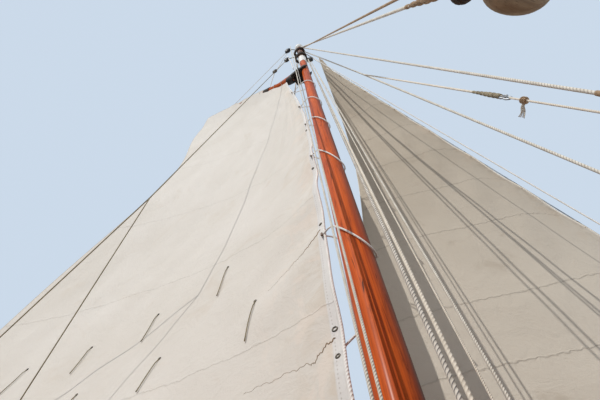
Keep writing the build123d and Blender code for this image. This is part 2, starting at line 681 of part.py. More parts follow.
jib_table = (
    # share down the luff, leech x, y, z
    (0.03, 1215.0, 30.0, 5560.0),
    (0.25, 1450.0, 330.0, 4330.0),
    (0.50, 1440.0, 450.0, 3080.0),
    (0.75, 1310.0, 550.0, 1800.0),
    (1.0, 1170.0, 580.0, 860.0),
)
jib_head = stay_high + (stay_low - stay_high) * 0.105 - Vector(24, 0, 24)
jib_tack = stay_high + (stay_low - stay_high) * 0.955 - Vector(24, 0, 24)
sections = []
for share, x, y, z in jib_table:
    luff = jib_head + (jib_tack - jib_head) * share
    sections.append(sail_section(luff, Vector(x, y, z), 0.06, -1))
jib = loft(sections, ruled=True)
save("jib", jib)
forestay = rod(stay_high, stay_low, stay_r) - band - iron
save("forestay", forestay)
hanks = []
for share in [0.03 + 0.94 * i / 9 for i in range(10)]:
    on_luff = jib_head + (jib_tack - jib_head) * (0.03 + share * 0.97)
    on_stay = on_luff + Vector(24, 0, 24)
    away = (on_luff - on_stay).normalized()
    hanks += (rod(on_stay, on_luff + away * 14 + Vector(0, -2, 0), 4.5) - forestay - jib).solids()
save("jib_hanks", Compound(hanks))
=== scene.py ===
import bpy
import numpy as np
from numpy import array, concatenate, cos, cross, linspace, pi, radians, sin, stack
from mathutils import Matrix
from mathutils.bvhtree import BVHTree


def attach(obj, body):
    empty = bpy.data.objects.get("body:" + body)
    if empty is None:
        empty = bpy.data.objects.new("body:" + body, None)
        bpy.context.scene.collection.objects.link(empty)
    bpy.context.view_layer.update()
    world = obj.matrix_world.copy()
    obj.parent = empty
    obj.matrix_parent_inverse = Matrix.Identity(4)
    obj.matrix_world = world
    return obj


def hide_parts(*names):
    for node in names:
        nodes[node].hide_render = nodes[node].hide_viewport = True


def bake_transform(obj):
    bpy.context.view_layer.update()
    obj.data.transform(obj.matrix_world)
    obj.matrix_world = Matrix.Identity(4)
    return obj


# The boat afloat: an open lapstrake dinghy with a gaff sloop rig. +X bow, +Y port, +Z up, and the
# water's surface, where the pale floor stands, is z = 0.
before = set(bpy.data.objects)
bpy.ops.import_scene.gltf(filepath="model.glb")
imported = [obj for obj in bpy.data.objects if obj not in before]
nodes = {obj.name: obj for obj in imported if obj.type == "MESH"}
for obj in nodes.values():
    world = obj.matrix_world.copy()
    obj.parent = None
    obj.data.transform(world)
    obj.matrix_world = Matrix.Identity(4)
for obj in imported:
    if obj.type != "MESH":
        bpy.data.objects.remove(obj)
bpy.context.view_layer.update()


class Value:
    """A socket with arithmetic: sums, differences and products add Math nodes."""

    def __init__(self, look, socket):
        self.look, self.socket = look, socket

    def _math(self, operation, *others):
        values = dict(enumerate((self,) + others))
        return self.look.node("ShaderNodeMath", {"operation": operation}, values)["Value"]

    def __add__(self, other):
        return self._math("ADD", other)

    def __sub__(self, other):
        return self._math("SUBTRACT", other)

    def __mul__(self, other):
        return self._math("MULTIPLY", other)

    __radd__, __rmul__ = __add__, __mul__

    def __rsub__(self, other):
        return self._math("MULTIPLY", -1.0)._math("ADD", other)

    def sine(self):
        return self._math("SINE")

    def fraction(self):
        return self._math("FRACT")

    def size(self):
        return self._math("ABSOLUTE")

    def most(self, other):
        return self._math("MAXIMUM", other)

    def between(self, low, high):
        """0 below low, 1 above high, smooth between."""
        return self.look.node("ShaderNodeMapRange", {"interpolation_type": "SMOOTHSTEP"},
                              {"Value": self, "From Min": low, "From Max": high})["Result"]

    def near(self, centre, half):
        """1 at the centre, falling to 0 at half away."""
        return 1 - (self - centre).size().between(0.0, half)


class Look:
    """One material, or the surroundings, written as expressions on its sockets."""

    def __init__(self, name, world=None, **fixed):
        self.material = world or bpy.data.materials.new(name)
        self.material.use_nodes = True
        self.tree = self.material.node_tree
        self.shader = self.tree.nodes["Background" if world else "Principled BSDF"]
        self.surface = self.tree.nodes["World Output" if world else "Material Output"].inputs["Surface"]
        for key, value in fixed.items():
            self.join(value, self.shader.inputs[key.replace("_", " ")])

    def join(self, value, slot):
        if isinstance(value, Value):
            self.tree.links.new(value.socket, slot)
        elif isinstance(value, (tuple, list)):
            slot.default_value = tuple(value) + (1.0,) * (len(slot.default_value) - len(value))
        else:
            slot.default_value = value

    def node(self, kind, settings=None, inputs=None):
        """Adds a node: its settings first, then its sockets; returns its outputs by name."""
        made = self.tree.nodes.new(kind)
        for key, value in (settings or {}).items():
            setattr(made, key, value)
        for key, value in (inputs or {}).items():
            self.join(value, made.inputs[key])
        return {out.name: Value(self, out) for out in made.outputs if out.enabled}

    def place(self, scale=(1, 1, 1)):
        """Object coordinates, scaled for the pattern."""
        here = self.node("ShaderNodeTexCoord")["Object"]
        return self.node("ShaderNodeMapping", {}, {"Vector": here, "Scale": scale})["Vector"]

    def along(self):
        """The piece's own UV map, as two values."""
        parts = self.node("ShaderNodeSeparateXYZ", {}, {"Vector": self.node("ShaderNodeUVMap")["UV"]})
        return parts["X"], parts["Y"]

    def noise(self, where, scale, detail=4.0, rough=0.5, warp=0.0):
        inputs = {"Vector": where, "Scale": scale, "Detail": detail, "Roughness": rough, "Distortion": warp}
        return self.node("ShaderNodeTexNoise", {}, inputs)["Fac"]

    def mix(self, amount, first, second):
        """A colour between two others."""
        first_slot, second_slot = 6, 7
        return self.node("ShaderNodeMix", {"data_type": "RGBA"},
                         {"Factor": amount, first_slot: first, second_slot: second})["Result"]

    def cover(self, amount, over):
        """The shader with a share of another one mixed in, as the whole surface."""
        own = Value(self, self.shader.outputs[0])
        self.join(self.node("ShaderNodeMixShader", {}, {0: amount, 1: own, 2: over})["Shader"], self.surface)

    def bump(self, height, strength=0.3, distance=0.001):
        made = self.node("ShaderNodeBump", {}, {"Height": height, "Strength": strength, "Distance": distance})
        self.join(made["Normal"], self.shader.inputs["Normal"])

    def colour(self, value):
        self.join(value, self.shader.inputs["Base Color"])

    def rough(self, value):
        self.join(value, self.shader.inputs["Roughness"])

    def on(self, *names):
        """Gives CAD nodes or pieces this finish."""
        for name in names:
            piece = nodes[name] if isinstance(name, str) else name
            piece.data.materials.clear()
            piece.data.materials.append(self.material)


def placed(name, data):
    """A new object in the scene."""
    made = bpy.data.objects.new(name, data)
    bpy.context.collection.objects.link(made)
    return made


# The water's surface, with a hole that follows the planking so that the boat's inside stays open, pale
# surroundings, a high key light from the starboard quarter, and the camera low down beside the mast.
planking_mm = [(-2680, 30), (-2400, 330), (-1900, 505), (-1400, 615), (-860, 687), (-500, 704), (-150, 705),
               (130, 692), (470, 659), (810, 603), (1090, 539), (1400, 450), (1800, 313), (2200, 150),
               (2420, 30)]
hole = array(planking_mm) / 1000
ring = concatenate([hole, hole[::-1] * (1, -1)])
bearing = np.arctan2(ring[:, 1], ring[:, 0])
floor_radius = 40.0
far = stack([cos(bearing), sin(bearing)], 1) * floor_radius
level = concatenate([ring, far])
here = np.arange(len(ring))
after = np.roll(here, -1)
water = bpy.data.meshes.new("floor")
water.from_pydata(np.pad(level, ((0, 0), (0, 1))).tolist(), [],
                  stack([here, after, len(ring) + after, len(ring) + here], 1).tolist())
floor = placed("floor", water)
pale = Look("pale_floor", Roughness=0.9, Base_Color=(0.80, 0.82, 0.84))
pale.on(floor)

world = bpy.data.worlds.new("surroundings")
bpy.context.scene.world = world
sky = Look("surroundings", world, Color=(0.86, 0.91, 1.0), Strength=0.42)
rays = sky.node("ShaderNodeLightPath")
sky.cover(rays["Is Camera Ray"].most(rays["Is Transmission Ray"]).most(rays["Is Glossy Ray"]),
          sky.node("ShaderNodeBackground", {}, {"Color": (0.60, 0.70, 0.82)})["Background"])

eye = (0.4363, -0.7091, 0.08)
view_right = array([0.9415, -0.3345, -0.0414])
view_down = array([0.2849, 0.8554, -0.4325])
view_ahead = array([0.1801, 0.3954, 0.9007])
camera = placed("camera", bpy.data.cameras.new("camera"))
camera.data.sensor_width = 36.0
camera.data.lens = 28.016
camera.data.clip_start = 0.02
axes = stack([view_right, -view_down, -view_ahead, eye], 1)
camera.matrix_world = Matrix([*axes.tolist(), (0, 0, 0, 1)])
bpy.context.scene.camera = camera
bpy.context.scene.view_settings.view_transform = "Standard"

for name, azimuth, height, energy, spread, tint in (
        ("key", 212.5, 40.0, 2.55, 0.4, (1.0, 0.96, 0.9)),
        ("fill", 60.0, 35.0, 0.15, 40.0, (0.92, 0.96, 1.0))):
    lamp = placed(name, bpy.data.lights.new(name, "SUN"))
    lamp.data.energy, lamp.data.angle, lamp.data.color = energy, radians(spread), tint
    lamp.rotation_euler = (radians(90 - height), 0, radians(azimuth + 90))


# The planking: six copper-fastened planks a side of varnished mahogany, each lapping outside the one below,
# with the transom board, oak rails, backbone and fittings, bent ash ribs and scrubbed pine boards inside.
def timber(name, light, dark, grain=(1.2, 26, 26), gloss=0.28, coat=0.6, knots=0.4):
    """Varnished timber: long streaks of grain, broad changes of colour and a rubbed sheen."""
    look = Look(name, Coat_Weight=coat, Coat_Roughness=0.08)
    wear = 0.12
    streak = look.noise(look.place(grain), 1.0, detail=8, rough=0.62, warp=0.6)
    broad = look.noise(look.place((0.8, 3, 3)), 1.0, detail=3)
    fine = look.noise(look.place((grain[0] * 4, grain[1] * 9, grain[2] * 9)), 1.0, detail=3)
    tone = look.mix((streak * 0.75 + broad * 0.45 - 0.1).between(0.22, 0.78), dark, light)
    look.colour(look.mix(fine.between(0.56, 0.78) * knots, tone, tuple(c * 0.55 for c in dark)))
    look.rough(look.noise(look.place((3, 3, 3)), 2.0) * wear * 2 + (gloss - wear))
    look.bump(streak * 0.6 + fine * 0.4, 0.12, 0.0008)
    return look


mahogany = timber("varnished_planks", (0.42, 0.165, 0.055), (0.21, 0.062, 0.02))
mahogany.on(*[f"strake_{k}" for k in range(1, 7)], "transom", "mast_thwart", "middle_thwart", "breasthook")
oak = timber("varnished_oak", (0.50, 0.28, 0.115), (0.28, 0.125, 0.045), grain=(1.5, 34, 34), gloss=0.34)
oak.on("gunwales", "inwales", "keel", "stem", "risers", "rudder", "tiller", "bowsprit_bitt",
       "centreboard_case", "bench_brackets", "boom_jaws", "boom_rest", "mast_step")
ash = timber("bent_ribs", (0.55, 0.34, 0.16), (0.36, 0.19, 0.08), grain=(30, 2, 2), gloss=0.4)
ash.on("ribs", "floor_bearers")
pine = timber("scrubbed_pine", (0.60, 0.40, 0.20), (0.42, 0.24, 0.10), grain=(1.2, 20, 20), gloss=0.5,
              coat=0.15)
pine.on("floorboards", "stern_benches")


# The ironwork: hot-dipped galvanised straps and plates, dull grey with a crystalline spangle, and bronze
# pins and fittings browned by salt air.
def metal(name, light, dark, scale=60.0):
    """Dull metal with blotches of tarnish and fine pitting."""
    look = Look(name, Metallic=1.0)
    spots = look.noise(look.place(), scale, detail=3)
    broad = look.noise(look.place(), scale / 8, detail=4)
    look.colour(look.mix((spots * 0.5 + broad * 0.6).between(0.35, 0.75), dark, light))
    look.rough(broad * 0.3 + 0.32)
    look.bump(spots, 0.15, 0.0005)
    return look


galvanised = metal("galvanised_iron", (0.42, 0.43, 0.44), (0.20, 0.205, 0.21))
galvanised.on("mast_band", "chainplates", "cranse_iron", "centreboard", "bobstay", "forestay")
bronze = metal("tarnished_bronze", (0.46, 0.30, 0.13), (0.20, 0.12, 0.055))
bronze.on("gudgeons", "pintles", "centreboard_pin", "jib_hanks")


# The mast: a solid varnished spruce spar in deep orange, thickest from the thwart to waist height and
# tapered to the head; its stains, drying shakes and old varnish runs go down the grain.
mast_x, mast_foot, mast_top = 0.95, -0.15, 6.23


def mast_r(z):
    """The mast's radius at a height: 56 mm to z 0.9, then straight tapers to 41 at 3.6 and 33 at the head."""
    return np.interp(z, (0.9, 3.6, mast_top), (0.056, 0.041, 0.033))


def unit(v):
    """Vectors scaled to length 1."""
    v = np.asarray(v, float)
    return v / np.linalg.norm(v, axis=-1, keepdims=True)


def steps(count):
    """Shares evenly from 0 to 1."""
    return linspace(0, 1, count)


def circle(count):
    """Angles evenly round a circle."""
    return linspace(0, 2 * pi, count, endpoint=False)


def run_along(path):
    """The length along a path up to each of its points."""
    return concatenate([[0], np.cumsum(np.linalg.norm(np.diff(path, axis=0), axis=1))])


def sheet_mesh(name, grid, wrap=False, ends=False, uv=None, flip=False):
    """A smooth piece from a grid of points (rows, columns, 3): each cell is a face. wrap joins the last
    column to the first, ends closes the first and last rows with a fan. uv is (rows, columns + wrap, 2)."""
    rows, cols = grid.shape[:2]
    index = np.arange(rows * cols).reshape(rows, cols)
    if wrap:
        index = concatenate([index, index[:, :1]], 1)
    if uv is None:
        uv = stack(np.meshgrid(steps(index.shape[1]), steps(rows)), -1)
    faces = stack([index[:-1, :-1], index[:-1, 1:], index[1:, 1:], index[1:, :-1]], -1).reshape(-1, 4)
    spots = stack([uv[:-1, :-1], uv[:-1, 1:], uv[1:, 1:], uv[1:, :-1]], 2).reshape(-1, 4, 2)
    points = grid.reshape(-1, 3)
    way = -1 if flip else 1
    faces, spots = faces[:, ::way].tolist(), spots[:, ::way].reshape(-1, 2)
    if ends:
        points = concatenate([points, grid[0].mean(0)[None], grid[-1].mean(0)[None]])
        first, last = index[0], index[-1]
        low, high = np.full((2, cols), [[rows * cols], [rows * cols + 1]])
        corners = [first[1:], first[:-1], low], [last[:-1], last[1:], high]
        fan = concatenate([stack(side, 1) for side in corners])
        faces += fan[:, ::way].tolist()
        spots = concatenate([spots, np.repeat(uv[0, :1], 3 * cols, 0), np.repeat(uv[-1, :1], 3 * cols, 0)])
    mesh = bpy.data.meshes.new(name)
    mesh.from_pydata(points.tolist(), [], faces)
    mesh.uv_layers.new(name="UVMap").data.foreach_set("uv", spots.ravel())
    mesh.polygons.foreach_set("use_smooth", [True] * len(faces))
    return placed(name, mesh)


def round_bar(name, path, radius, sides=20, closed=False, side=(0.31, 0.17, 0.93), pitch=1.0):
    """A round section carried along a path: path + r cos a across + r sin a up, where side is never along the
    run. Its UV map holds the turn round the bar from 0 to 1 and the run along it in pitches."""
    ahead = unit(np.roll(path, -1, 0) - np.roll(path, 1, 0) if closed else np.gradient(path, axis=0))
    across = unit(cross(ahead, side))[:, None]
    up = cross(ahead[:, None], across)
    angle = circle(sides)[:, None]
    r = np.broadcast_to(radius, len(path))[:, None, None]
    grid = path[:, None] + r * (cos(angle) * across + sin(angle) * up)
    run = run_along(path)
    if closed:
        run = np.append(run, run[-1] + np.linalg.norm(path[0] - path[-1]))
        grid = concatenate([grid, grid[:1]])
        run = run / run[-1] * max(1, round(run[-1] / pitch)) * pitch
    uv = stack(np.meshgrid(steps(sides + 1), run / pitch), -1)
    return sheet_mesh(name, grid, wrap=True, ends=not closed, uv=uv, flip=True)


def fit(piece, look, body="hull", stands_for=None):
    """Gives a piece its finish, the body it rides on and the CAD node it replaces, if there is one."""
    look.on(piece)
    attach(piece, body)
    if stands_for:
        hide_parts(stands_for)
    return piece


def spar_look(name, light, dark, stain, worn=None):
    """Varnished spar: UV gives the turn round it and metres along it, so the grain runs along. Shakes are
    thin dark lines, knots and water stains darker patches, and, where darkened is given, a band round one
    side is painted darker as shade."""
    look = Look(name, Coat_Weight=0.045, Coat_Roughness=0.20, Specular_IOR_Level=0.05)
    turn, run = look.along()
    wide = turn * (2 * pi)
    sides = {"X": wide.sine(), "Y": (wide + pi / 2).sine(), "Z": run * 0.55}
    around = look.node("ShaderNodeCombineXYZ", {}, sides)["Vector"]

    def grained(scale, detail, rough, warp):
        stretched = look.node("ShaderNodeMapping", {}, {"Vector": around, "Scale": scale})["Vector"]
        return look.noise(stretched, 1.0, detail, rough, warp)

    grain = grained((9, 9, 0.9), 9, 0.65, 1.0)
    patch = grained((1.0, 1.0, 2.6), 4, 0.55, 0.8)
    marks = grained((2.6, 2.6, 6.5), 7, 0.7, 1.6)
    shakes = grained((14, 14, 0.5), 3, 0.5, 0.5).between(0.66, 0.72) * 0.6
    knots = grained((6, 6, 13), 3, 0.4, 0.6).between(0.69, 0.75) * 0.85
    tone = look.mix((grain * 0.7 + patch * 0.7 - 0.2).between(0.28, 0.72), dark, light)
    tone = look.mix(marks.between(0.50, 0.72) * 0.7, tone, stain)
    tone = look.mix(knots, tone, tuple(c * 0.4 for c in stain))
    # painted shade: a band round the side of the spar that turns away from the key light is painted darker
    if worn is not None:
        tone = look.mix((turn + marks * 0.08 - 0.04).near(worn, 0.26) * 1.05, tone, stain)
    look.colour(look.mix(shakes, tone, stain))
    look.rough(grain * 0.2 + marks * 0.15 + 0.24)
    look.bump(grain * 0.6 + marks * 0.3 - shakes, 0.16, 0.0012)
    return look


# The mast's side away from the key light, round turn 0.68, is painted darker as shade.
varnish = spar_look("mast_varnish", (0.68, 0.130, 0.017), (0.38, 0.054, 0.009), (0.075, 0.012, 0.005),
                    worn=0.68)
mast_z = linspace(mast_foot, mast_top, 160)
mast_line = stack([np.full(160, mast_x), np.zeros(160), mast_z], 1)
fit(round_bar("mast_spar", mast_line, mast_r(mast_z), sides=64, side=(1, 0, 0)), varnish, "hull", "mast")


# The masthead: a white-painted hound collar, the galvanised band with its four lugs, a dark worn pole head
# and a round white truck with a green-painted shoulder.
def turned_shape(name, centre, profile, sides=48):
    """A lathe shape about a vertical axis: the profile's radius at each height, carried round."""
    profile = np.asarray(profile, float)
    angle = circle(sides)
    grid = stack([centre[0] + profile[:, :1] * cos(angle), centre[1] + profile[:, :1] * sin(angle),
                     centre[2] + profile[:, 1:] + 0 * angle], -1)
    return sheet_mesh(name, grid, wrap=True, ends=True)


def patchy(name, first, second, scale, noise, level, share=1.0, bump=None, **fixed):
    """A coat whose noise, between two levels, shows a share of the second colour."""
    look = Look(name, **fixed)
    patches = look.noise(look.place(scale), *noise)
    look.colour(look.mix(patches.between(*level) * share, first, second))
    if bump:
        look.bump(patches, *bump)
    return look


white_paint = patchy("white_paint", (0.82, 0.81, 0.78), (0.40, 0.37, 0.31), (1, 1, 0.3), (45, 6, 0.6, 0.6),
                     (0.5, 0.75), share=0.55, bump=(0.2, 0.001), Roughness=0.45)
collar_r = mast_r(5.33) + 0.006
collar_rise = (0, 0.006, 0.03, 0.05, 0.25, 0.27, 0.294, 0.3)
collar_swell = array([-0.004, 0, 0.002, 0, 0, 0.002, 0, -0.004])
collar = turned_shape("hound_collar", (mast_x, 0, 5.18), stack([collar_r + collar_swell, collar_rise], 1))
fit(collar, white_paint, "hull", "mast_collar")
a = radians(linspace(-90, 90, 24))
ball = stack([0.054 * cos(a) + 1e-5, 0.044 * sin(a)], 1)
fit(turned_shape("truck_ball", (mast_x, 0, 6.322), ball), white_paint, "hull", "mast_truck")
green = patchy("green_shoulder", (0.05, 0.14, 0.08), (0.03, 0.05, 0.035), (1, 1, 1), (60, 4), (0.4, 0.65),
               Roughness=0.5)
fit(turned_shape("truck_shoulder", (mast_x, 0, mast_top),
                 [(0.03, 0), (0.034, 0.004), (0.034, 0.03), (0.022, 0.055), (0.018, 0.06)]), green)
worn = patchy("worn_pole_head", (0.055, 0.022, 0.012), (0.26, 0.10, 0.05), (1, 1, 0.15), (50, 6, 0.6, 0.8),
              (0.35, 0.65), bump=(0.3, 0.002), Roughness=0.7)
head_z = linspace(5.49, 6.04, 12)
fit(turned_shape("pole_head", (mast_x, 0, 0), stack([mast_r(head_z) + 0.0012, head_z], 1)), worn)


# The gaff, boom and bowsprit: varnished spars of the same spruce. The boom has wooden jaws; the gaff's jaws,
# throat knee and heel are cased in black leather, with served wraps and a brass-capped pin at the peak.
def heading(port, rise):
    """The direction of a spar swung to port by one angle and raised by another, in degrees."""
    a, r = radians(port), radians(rise)
    return array([-cos(a) * cos(r), sin(a) * cos(r), sin(r)])


gaff_port, gaff_rise, boom_port, boom_rise = 56, 43.5, 48, 4
gaff_flat, gaff_way = heading(gaff_port, 0), heading(gaff_port, gaff_rise)
boom_way = heading(boom_port, boom_rise)
gaff_under = gaff_flat * sin(radians(gaff_rise)) - array([0, 0, cos(radians(gaff_rise))])
gaff_near = cross(gaff_way, gaff_under)
gaff_root = array([mast_x, 0, 4.72]) + gaff_flat * 0.072
boom_root = array([mast_x, 0, 0.70])
gaff_end = 1.97
spar_wood = spar_look("spar_varnish", (0.52, 0.105, 0.020), (0.25, 0.040, 0.010), (0.07, 0.014, 0.006))
s = steps(60)
for name, root, way, first, last, ends in (
        ("gaff_spar", gaff_root, gaff_way, 0.035, gaff_end, (0.031, 0.032, 0.022)),
        ("boom_spar", boom_root, boom_way, 0.105, 2.96, (0.028, 0.033, 0.024))):
    line = root + way * (first + (last - first) * s)[:, None]
    spar = round_bar(name, line, np.interp(s, (0, 0.5, 1), ends), sides=32)
    fit(spar, spar_wood, "sail", name.split("_")[0])
bowsprit_x = linspace(2.18, 3.62, 50)
bowsprit_line = stack([bowsprit_x, np.zeros(50), np.full(50, 0.85)], 1)
fit(round_bar("bowsprit_spar", bowsprit_line, np.interp(bowsprit_x, (2.9, 3.62), (0.034, 0.023)), sides=32),
    spar_wood, "hull", "bowsprit")

leather = patchy("greased_leather", (0.010, 0.008, 0.007), (0.050, 0.034, 0.026), (1, 1, 1),
                 (55, 6, 0.65, 1.0), (0.35, 0.75), bump=(0.7, 0.003), Roughness=0.6, Specular_IOR_Level=0.15)
leather.on("gaff_leather", "gaff_jaws")

# a leather flap stitched over the jaws' near cheek, puckered along its lower edge
u, v = np.meshgrid(steps(40), steps(24))
swing = radians(62 + 124 * u)
reach = 0.077 + 0.012 * sin(u * 23) * v + 0.05 * v * sin(pi * u)
flap_z = 4.755 - 0.13 * v - 0.01 * sin(u * 19) * v
flap_grid = stack([mast_x + reach * cos(swing), reach * sin(swing), flap_z], -1)
flap = sheet_mesh("jaw_leather", flap_grid)
flap.modifiers.new("thickness", "SOLIDIFY").thickness = 0.004
fit(flap, leather, "sail")

served = Look("dark_serving", Roughness=0.8)
lay = served.along()[1].fraction().near(0.5, 0.5)
# painted shade: each turn is lighter across its middle and darker towards the grooves between turns
served.colour(served.mix(lay, (0.020, 0.012, 0.008), (0.060, 0.036, 0.022)))
served.bump(lay, 0.8, 0.002)
for name, root, way, first, last, thick in (
        ("gaff_band", gaff_root, gaff_way, 0.50, 0.60, 0.0375),
        ("gaff_wrap", gaff_root, gaff_way, 1.44, 1.52, 0.034),
        ("boom_wrap", boom_root, boom_way, 2.78, 2.84, 0.0305)):
    line = root + way * linspace(first, last, 12)[:, None]
    fit(round_bar(name, line, thick, sides=28, pitch=0.007), served, "sail")


def smooth(t):
    """0 below 0, 1 above 1, and 3t^2 - 2t^3 between."""
    t = np.clip(t, 0, 1)
    return t * t * (3 - 2 * t)


def power(wave, n):
    """A sine or cosine raised to a power with its sign kept, which squares off a round section."""
    return np.sign(wave) * np.abs(wave) ** n


def knee(name, first, last, thick, proud):
    """The throat piece on the gaff: its top edge rises 0.19 m towards the mast and stops 50 mm off it, and
    each section is a superellipse of power 4 between the gaff's back and that edge."""
    s = linspace(first, last, 40)
    clear_of_mast = (0.022 + 0.725 * s) / 0.689 - 0.032
    rise = np.minimum(0.19 * smooth((0.57 - s) / 0.40) + 0.004, clear_of_mast)
    a = circle(32)
    middle = gaff_root + gaff_way * s[:, None] - gaff_under * (0.012 + rise / 2)[:, None]
    tall = (rise / 2 + 0.012 + proud)[:, None] * power(cos(a), 0.5)
    wide = (thick * power(sin(a), 0.5))[:, None]
    grid = middle[:, None] - tall[..., None] * gaff_under + wide * gaff_near
    return sheet_mesh(name, grid, wrap=True, ends=True)


fit(knee("throat_knee", 0.20, 0.56, 0.014, 0.0), spar_wood, "sail")
fit(knee("throat_leather", 0.035, 0.25, 0.020, 0.004), leather, "sail")
cap_line = gaff_root + gaff_way * array([1.90, 1.93, 1.945, gaff_end])[:, None]
fit(round_bar("gaff_cap", cap_line, (0.027, 0.027, 0.025, 0.022), sides=24), bronze, "sail")


# The mainsail and jib: heavy cream cotton canvas. The mainsail is laced along the gaff's near side, carried
# on the mast by rope hoops and loose-footed; cloths are sewn with double rows, and the edges are roped.
tack = array([mast_x, 0, 0.736 + 0.1 * np.tan(radians(boom_rise))]) + heading(boom_port, 0) * 0.1
clew = boom_root + boom_way * 2.82 + [0, 0, 0.036]
throat = gaff_root + gaff_way * 0.195 + gaff_under * 0.0327
peak = gaff_root + gaff_way * 1.9 + gaff_under * 0.0327


def main_flat(u, v):
    """Straight chords from luff to leech at each height v, with both edges hollowed inwards and a belly of
    4u(1-u)(1.25-0.5u) times 7.5% of the chord at mid height."""
    luff = tack + (throat - tack) * v[..., None]
    leech = clew + (peak - clew) * v[..., None]
    inward = unit(luff - leech)
    leech = leech + inward * (0.5 * np.clip(sin(pi * v ** 1.6), 0, 1) ** 2.6)[..., None]
    luff = luff + inward * (0.095 * sin(pi * v ** 1.55))[..., None]
    chord = leech - luff
    away = unit(cross(chord, (0, 0, 1)))
    swell = 0.002 + 0.075 * np.clip(sin(pi * v), 0, 1) ** 0.8
    belly = 4 * u * (1 - u) * (1.25 - 0.5 * u) * swell * np.linalg.norm(chord, axis=-1)
    return luff + chord * u[..., None] + away * belly[..., None], -away


def mainsail(u, v, proud=0.0):
    """The flat shape, with soft folds that fan from the throat, tucks where the hoops pull the luff, small
    wrinkles off the reef eyelets, and its head lifted on to the gaff's near side in scallops."""
    u, v = np.broadcast_arrays(np.asarray(u, float), np.asarray(v, float))
    flat, near = main_flat(u, v)
    fan = np.arctan2(u * 2.3, 1.02 - v)
    folds = 0.007 * sin(fan * 21) * smooth(v * 2 - 0.4) * smooth(u * 7) * (1 - v * 0.3)
    tucks = 0.010 * np.exp(-u * 17) * sin(v * 2 * pi * 7.2 + 5 * u)
    inside = smooth(u * 6) * smooth((1 - u) * 6)
    wrinkle = 0.004 * sin(u * 37 + sin(v * 19) * 2.2) * sin(v * 23 + 1.3 * sin(u * 13)) * inside
    ripple = 0.008 * smooth(1 - u * 5) * sin(v * 61 + u * 40) * smooth(v * 6) * smooth((0.62 - v) * 6)
    out = folds + tucks + wrinkle + ripple + proud
    scallop = 0.014 + 0.008 * np.abs(sin(pi * u * 9)) * smooth(u * 4) + 0.034 * smooth(u * 2.6)
    up_gaff = gaff_near * (0.037 * smooth(u * 3.2))[..., None] - gaff_under * scallop[..., None]
    return flat + near * out[..., None] + smooth((v - 0.955) / 0.045)[..., None] * up_gaff


band_z = 6.05
stay_high = array([mast_x + mast_r(band_z) + 0.0244, 0, band_z])
stay_low = array([3.56, 0, 0.906])
off_stay = array([0.024, 0, 0.024])
jib_head = stay_high + (stay_low - stay_high) * 0.105 - off_stay
jib_tack = stay_high + (stay_low - stay_high) * 0.955 - off_stay
jib_leech = array([(1.215, 0.030, 5.56), (1.45, 0.33, 4.33), (1.44, 0.45, 3.08), (1.31, 0.55, 1.80),
                      (1.17, 0.58, 0.86)])
jib_curve = [np.polyfit((0.03, 0.25, 0.50, 0.75, 1.0), jib_leech[:, k], 4) for k in range(3)]


def jib(u, v, proud=0.0):
    """From the stay to a leech through five points (a quartic in v), with a belly of 6% of the chord, sag
    between the hanks and light creases across the cloths."""
    u, v = np.broadcast_arrays(np.asarray(u, float), np.asarray(v, float))
    luff = jib_head + (jib_tack - jib_head) * v[..., None]
    chord = stack([np.polyval(curve, v) for curve in jib_curve], -1) - luff
    away = unit(cross((0, 0, 1), chord))
    belly = 4 * u * (1 - u) * (1.25 - 0.5 * u) * 0.06 * np.linalg.norm(chord, axis=-1)
    hang = 0.006 * np.exp(-u * 14) * cos(v * 2 * pi * 9.6)
    inside = smooth(u * 5) * smooth((1 - u) * 8)
    crease = 0.0035 * sin(v * 57 + 3 * sin(u * 9)) * sin(u * 11 + 2 * v) * inside
    return luff + chord * u[..., None] + away * (belly - hang - crease - proud)[..., None]


def canvas(name, cloth, shade, stain, seams, half, tape, show, foot=None):
    """Sailcloth: a fine weave, cloudy handling marks, sewn seams as darker puckered double rows across it,
    white tape along the luff, pinkish lighter patches near the luff that are painted light, and some of the
    light coming through from the far side."""
    look = Look(name, Roughness=0.85, Sheen_Weight=0.1)
    u, v = look.along()
    here = look.place()
    broad = look.noise(here, 1.3, 5, 0.55, 0.6)
    blotch = look.noise(here, 3.2, 7, 0.62, 1.6)
    crumple = look.noise(here, 9.0, 7, 0.6, 0.8)
    crinkle = look.noise(look.place((1, 1, 2.2)), 38, 5, 0.62, 0.5)
    tone = look.mix(broad.between(0.3, 0.72), shade, cloth)
    if foot:
        tone = look.mix(v.between(0.35, 0.95) * 0.85, tone, foot)
    tone = look.mix(blotch.between(0.56, 0.78) * 0.35, tone, stain)
    handled = (u * -1 + 1).between(0.90, 0.995) * look.noise(here, 12, 5, 0.6, 1.0).between(0.42, 0.62)
    tone = look.mix(handled * 0.45, tone, stain)
    wander = look.noise(here, 30, 3) * 0.008 - 0.004 + (u * 9).sine() * 0.004
    rows = sum((v + wander).near(place, half) for place in seams)
    tone = look.mix(rows * show, tone, tuple(c * 0.42 for c in stain))
    # painted light: pinkish lighter patches near the luff, where sun comes through the folds
    painted_light_patches = (1 - u.between(0.03, 0.17)) * look.noise(here, 5.0, 6, 0.6, 1.4).between(0.50, 0.58)
    tone = look.mix(painted_light_patches * 0.5, tone, tuple(min(1, c * k) for c, k in zip(cloth, (1.04, 0.97, 0.92))))
    ribbon = 1 - u.between(tape, tape + 0.0025)
    tone = look.mix(ribbon * 0.85, tone, (0.80, 0.80, 0.80))
    stitch = (v * 260).fraction().near(0.5, 0.35) * u.near(tape - 0.002, 0.0012)
    look.colour(look.mix(stitch * 0.5, tone, (0.25, 0.22, 0.17)))
    look.bump(crumple + crinkle * 0.22 + rows * 0.35 + ribbon * 0.15, 0.55, 0.012)
    look.cover(0.2, look.node("ShaderNodeBsdfTranslucent", {}, {"Color": cloth})["BSDF"])
    return look


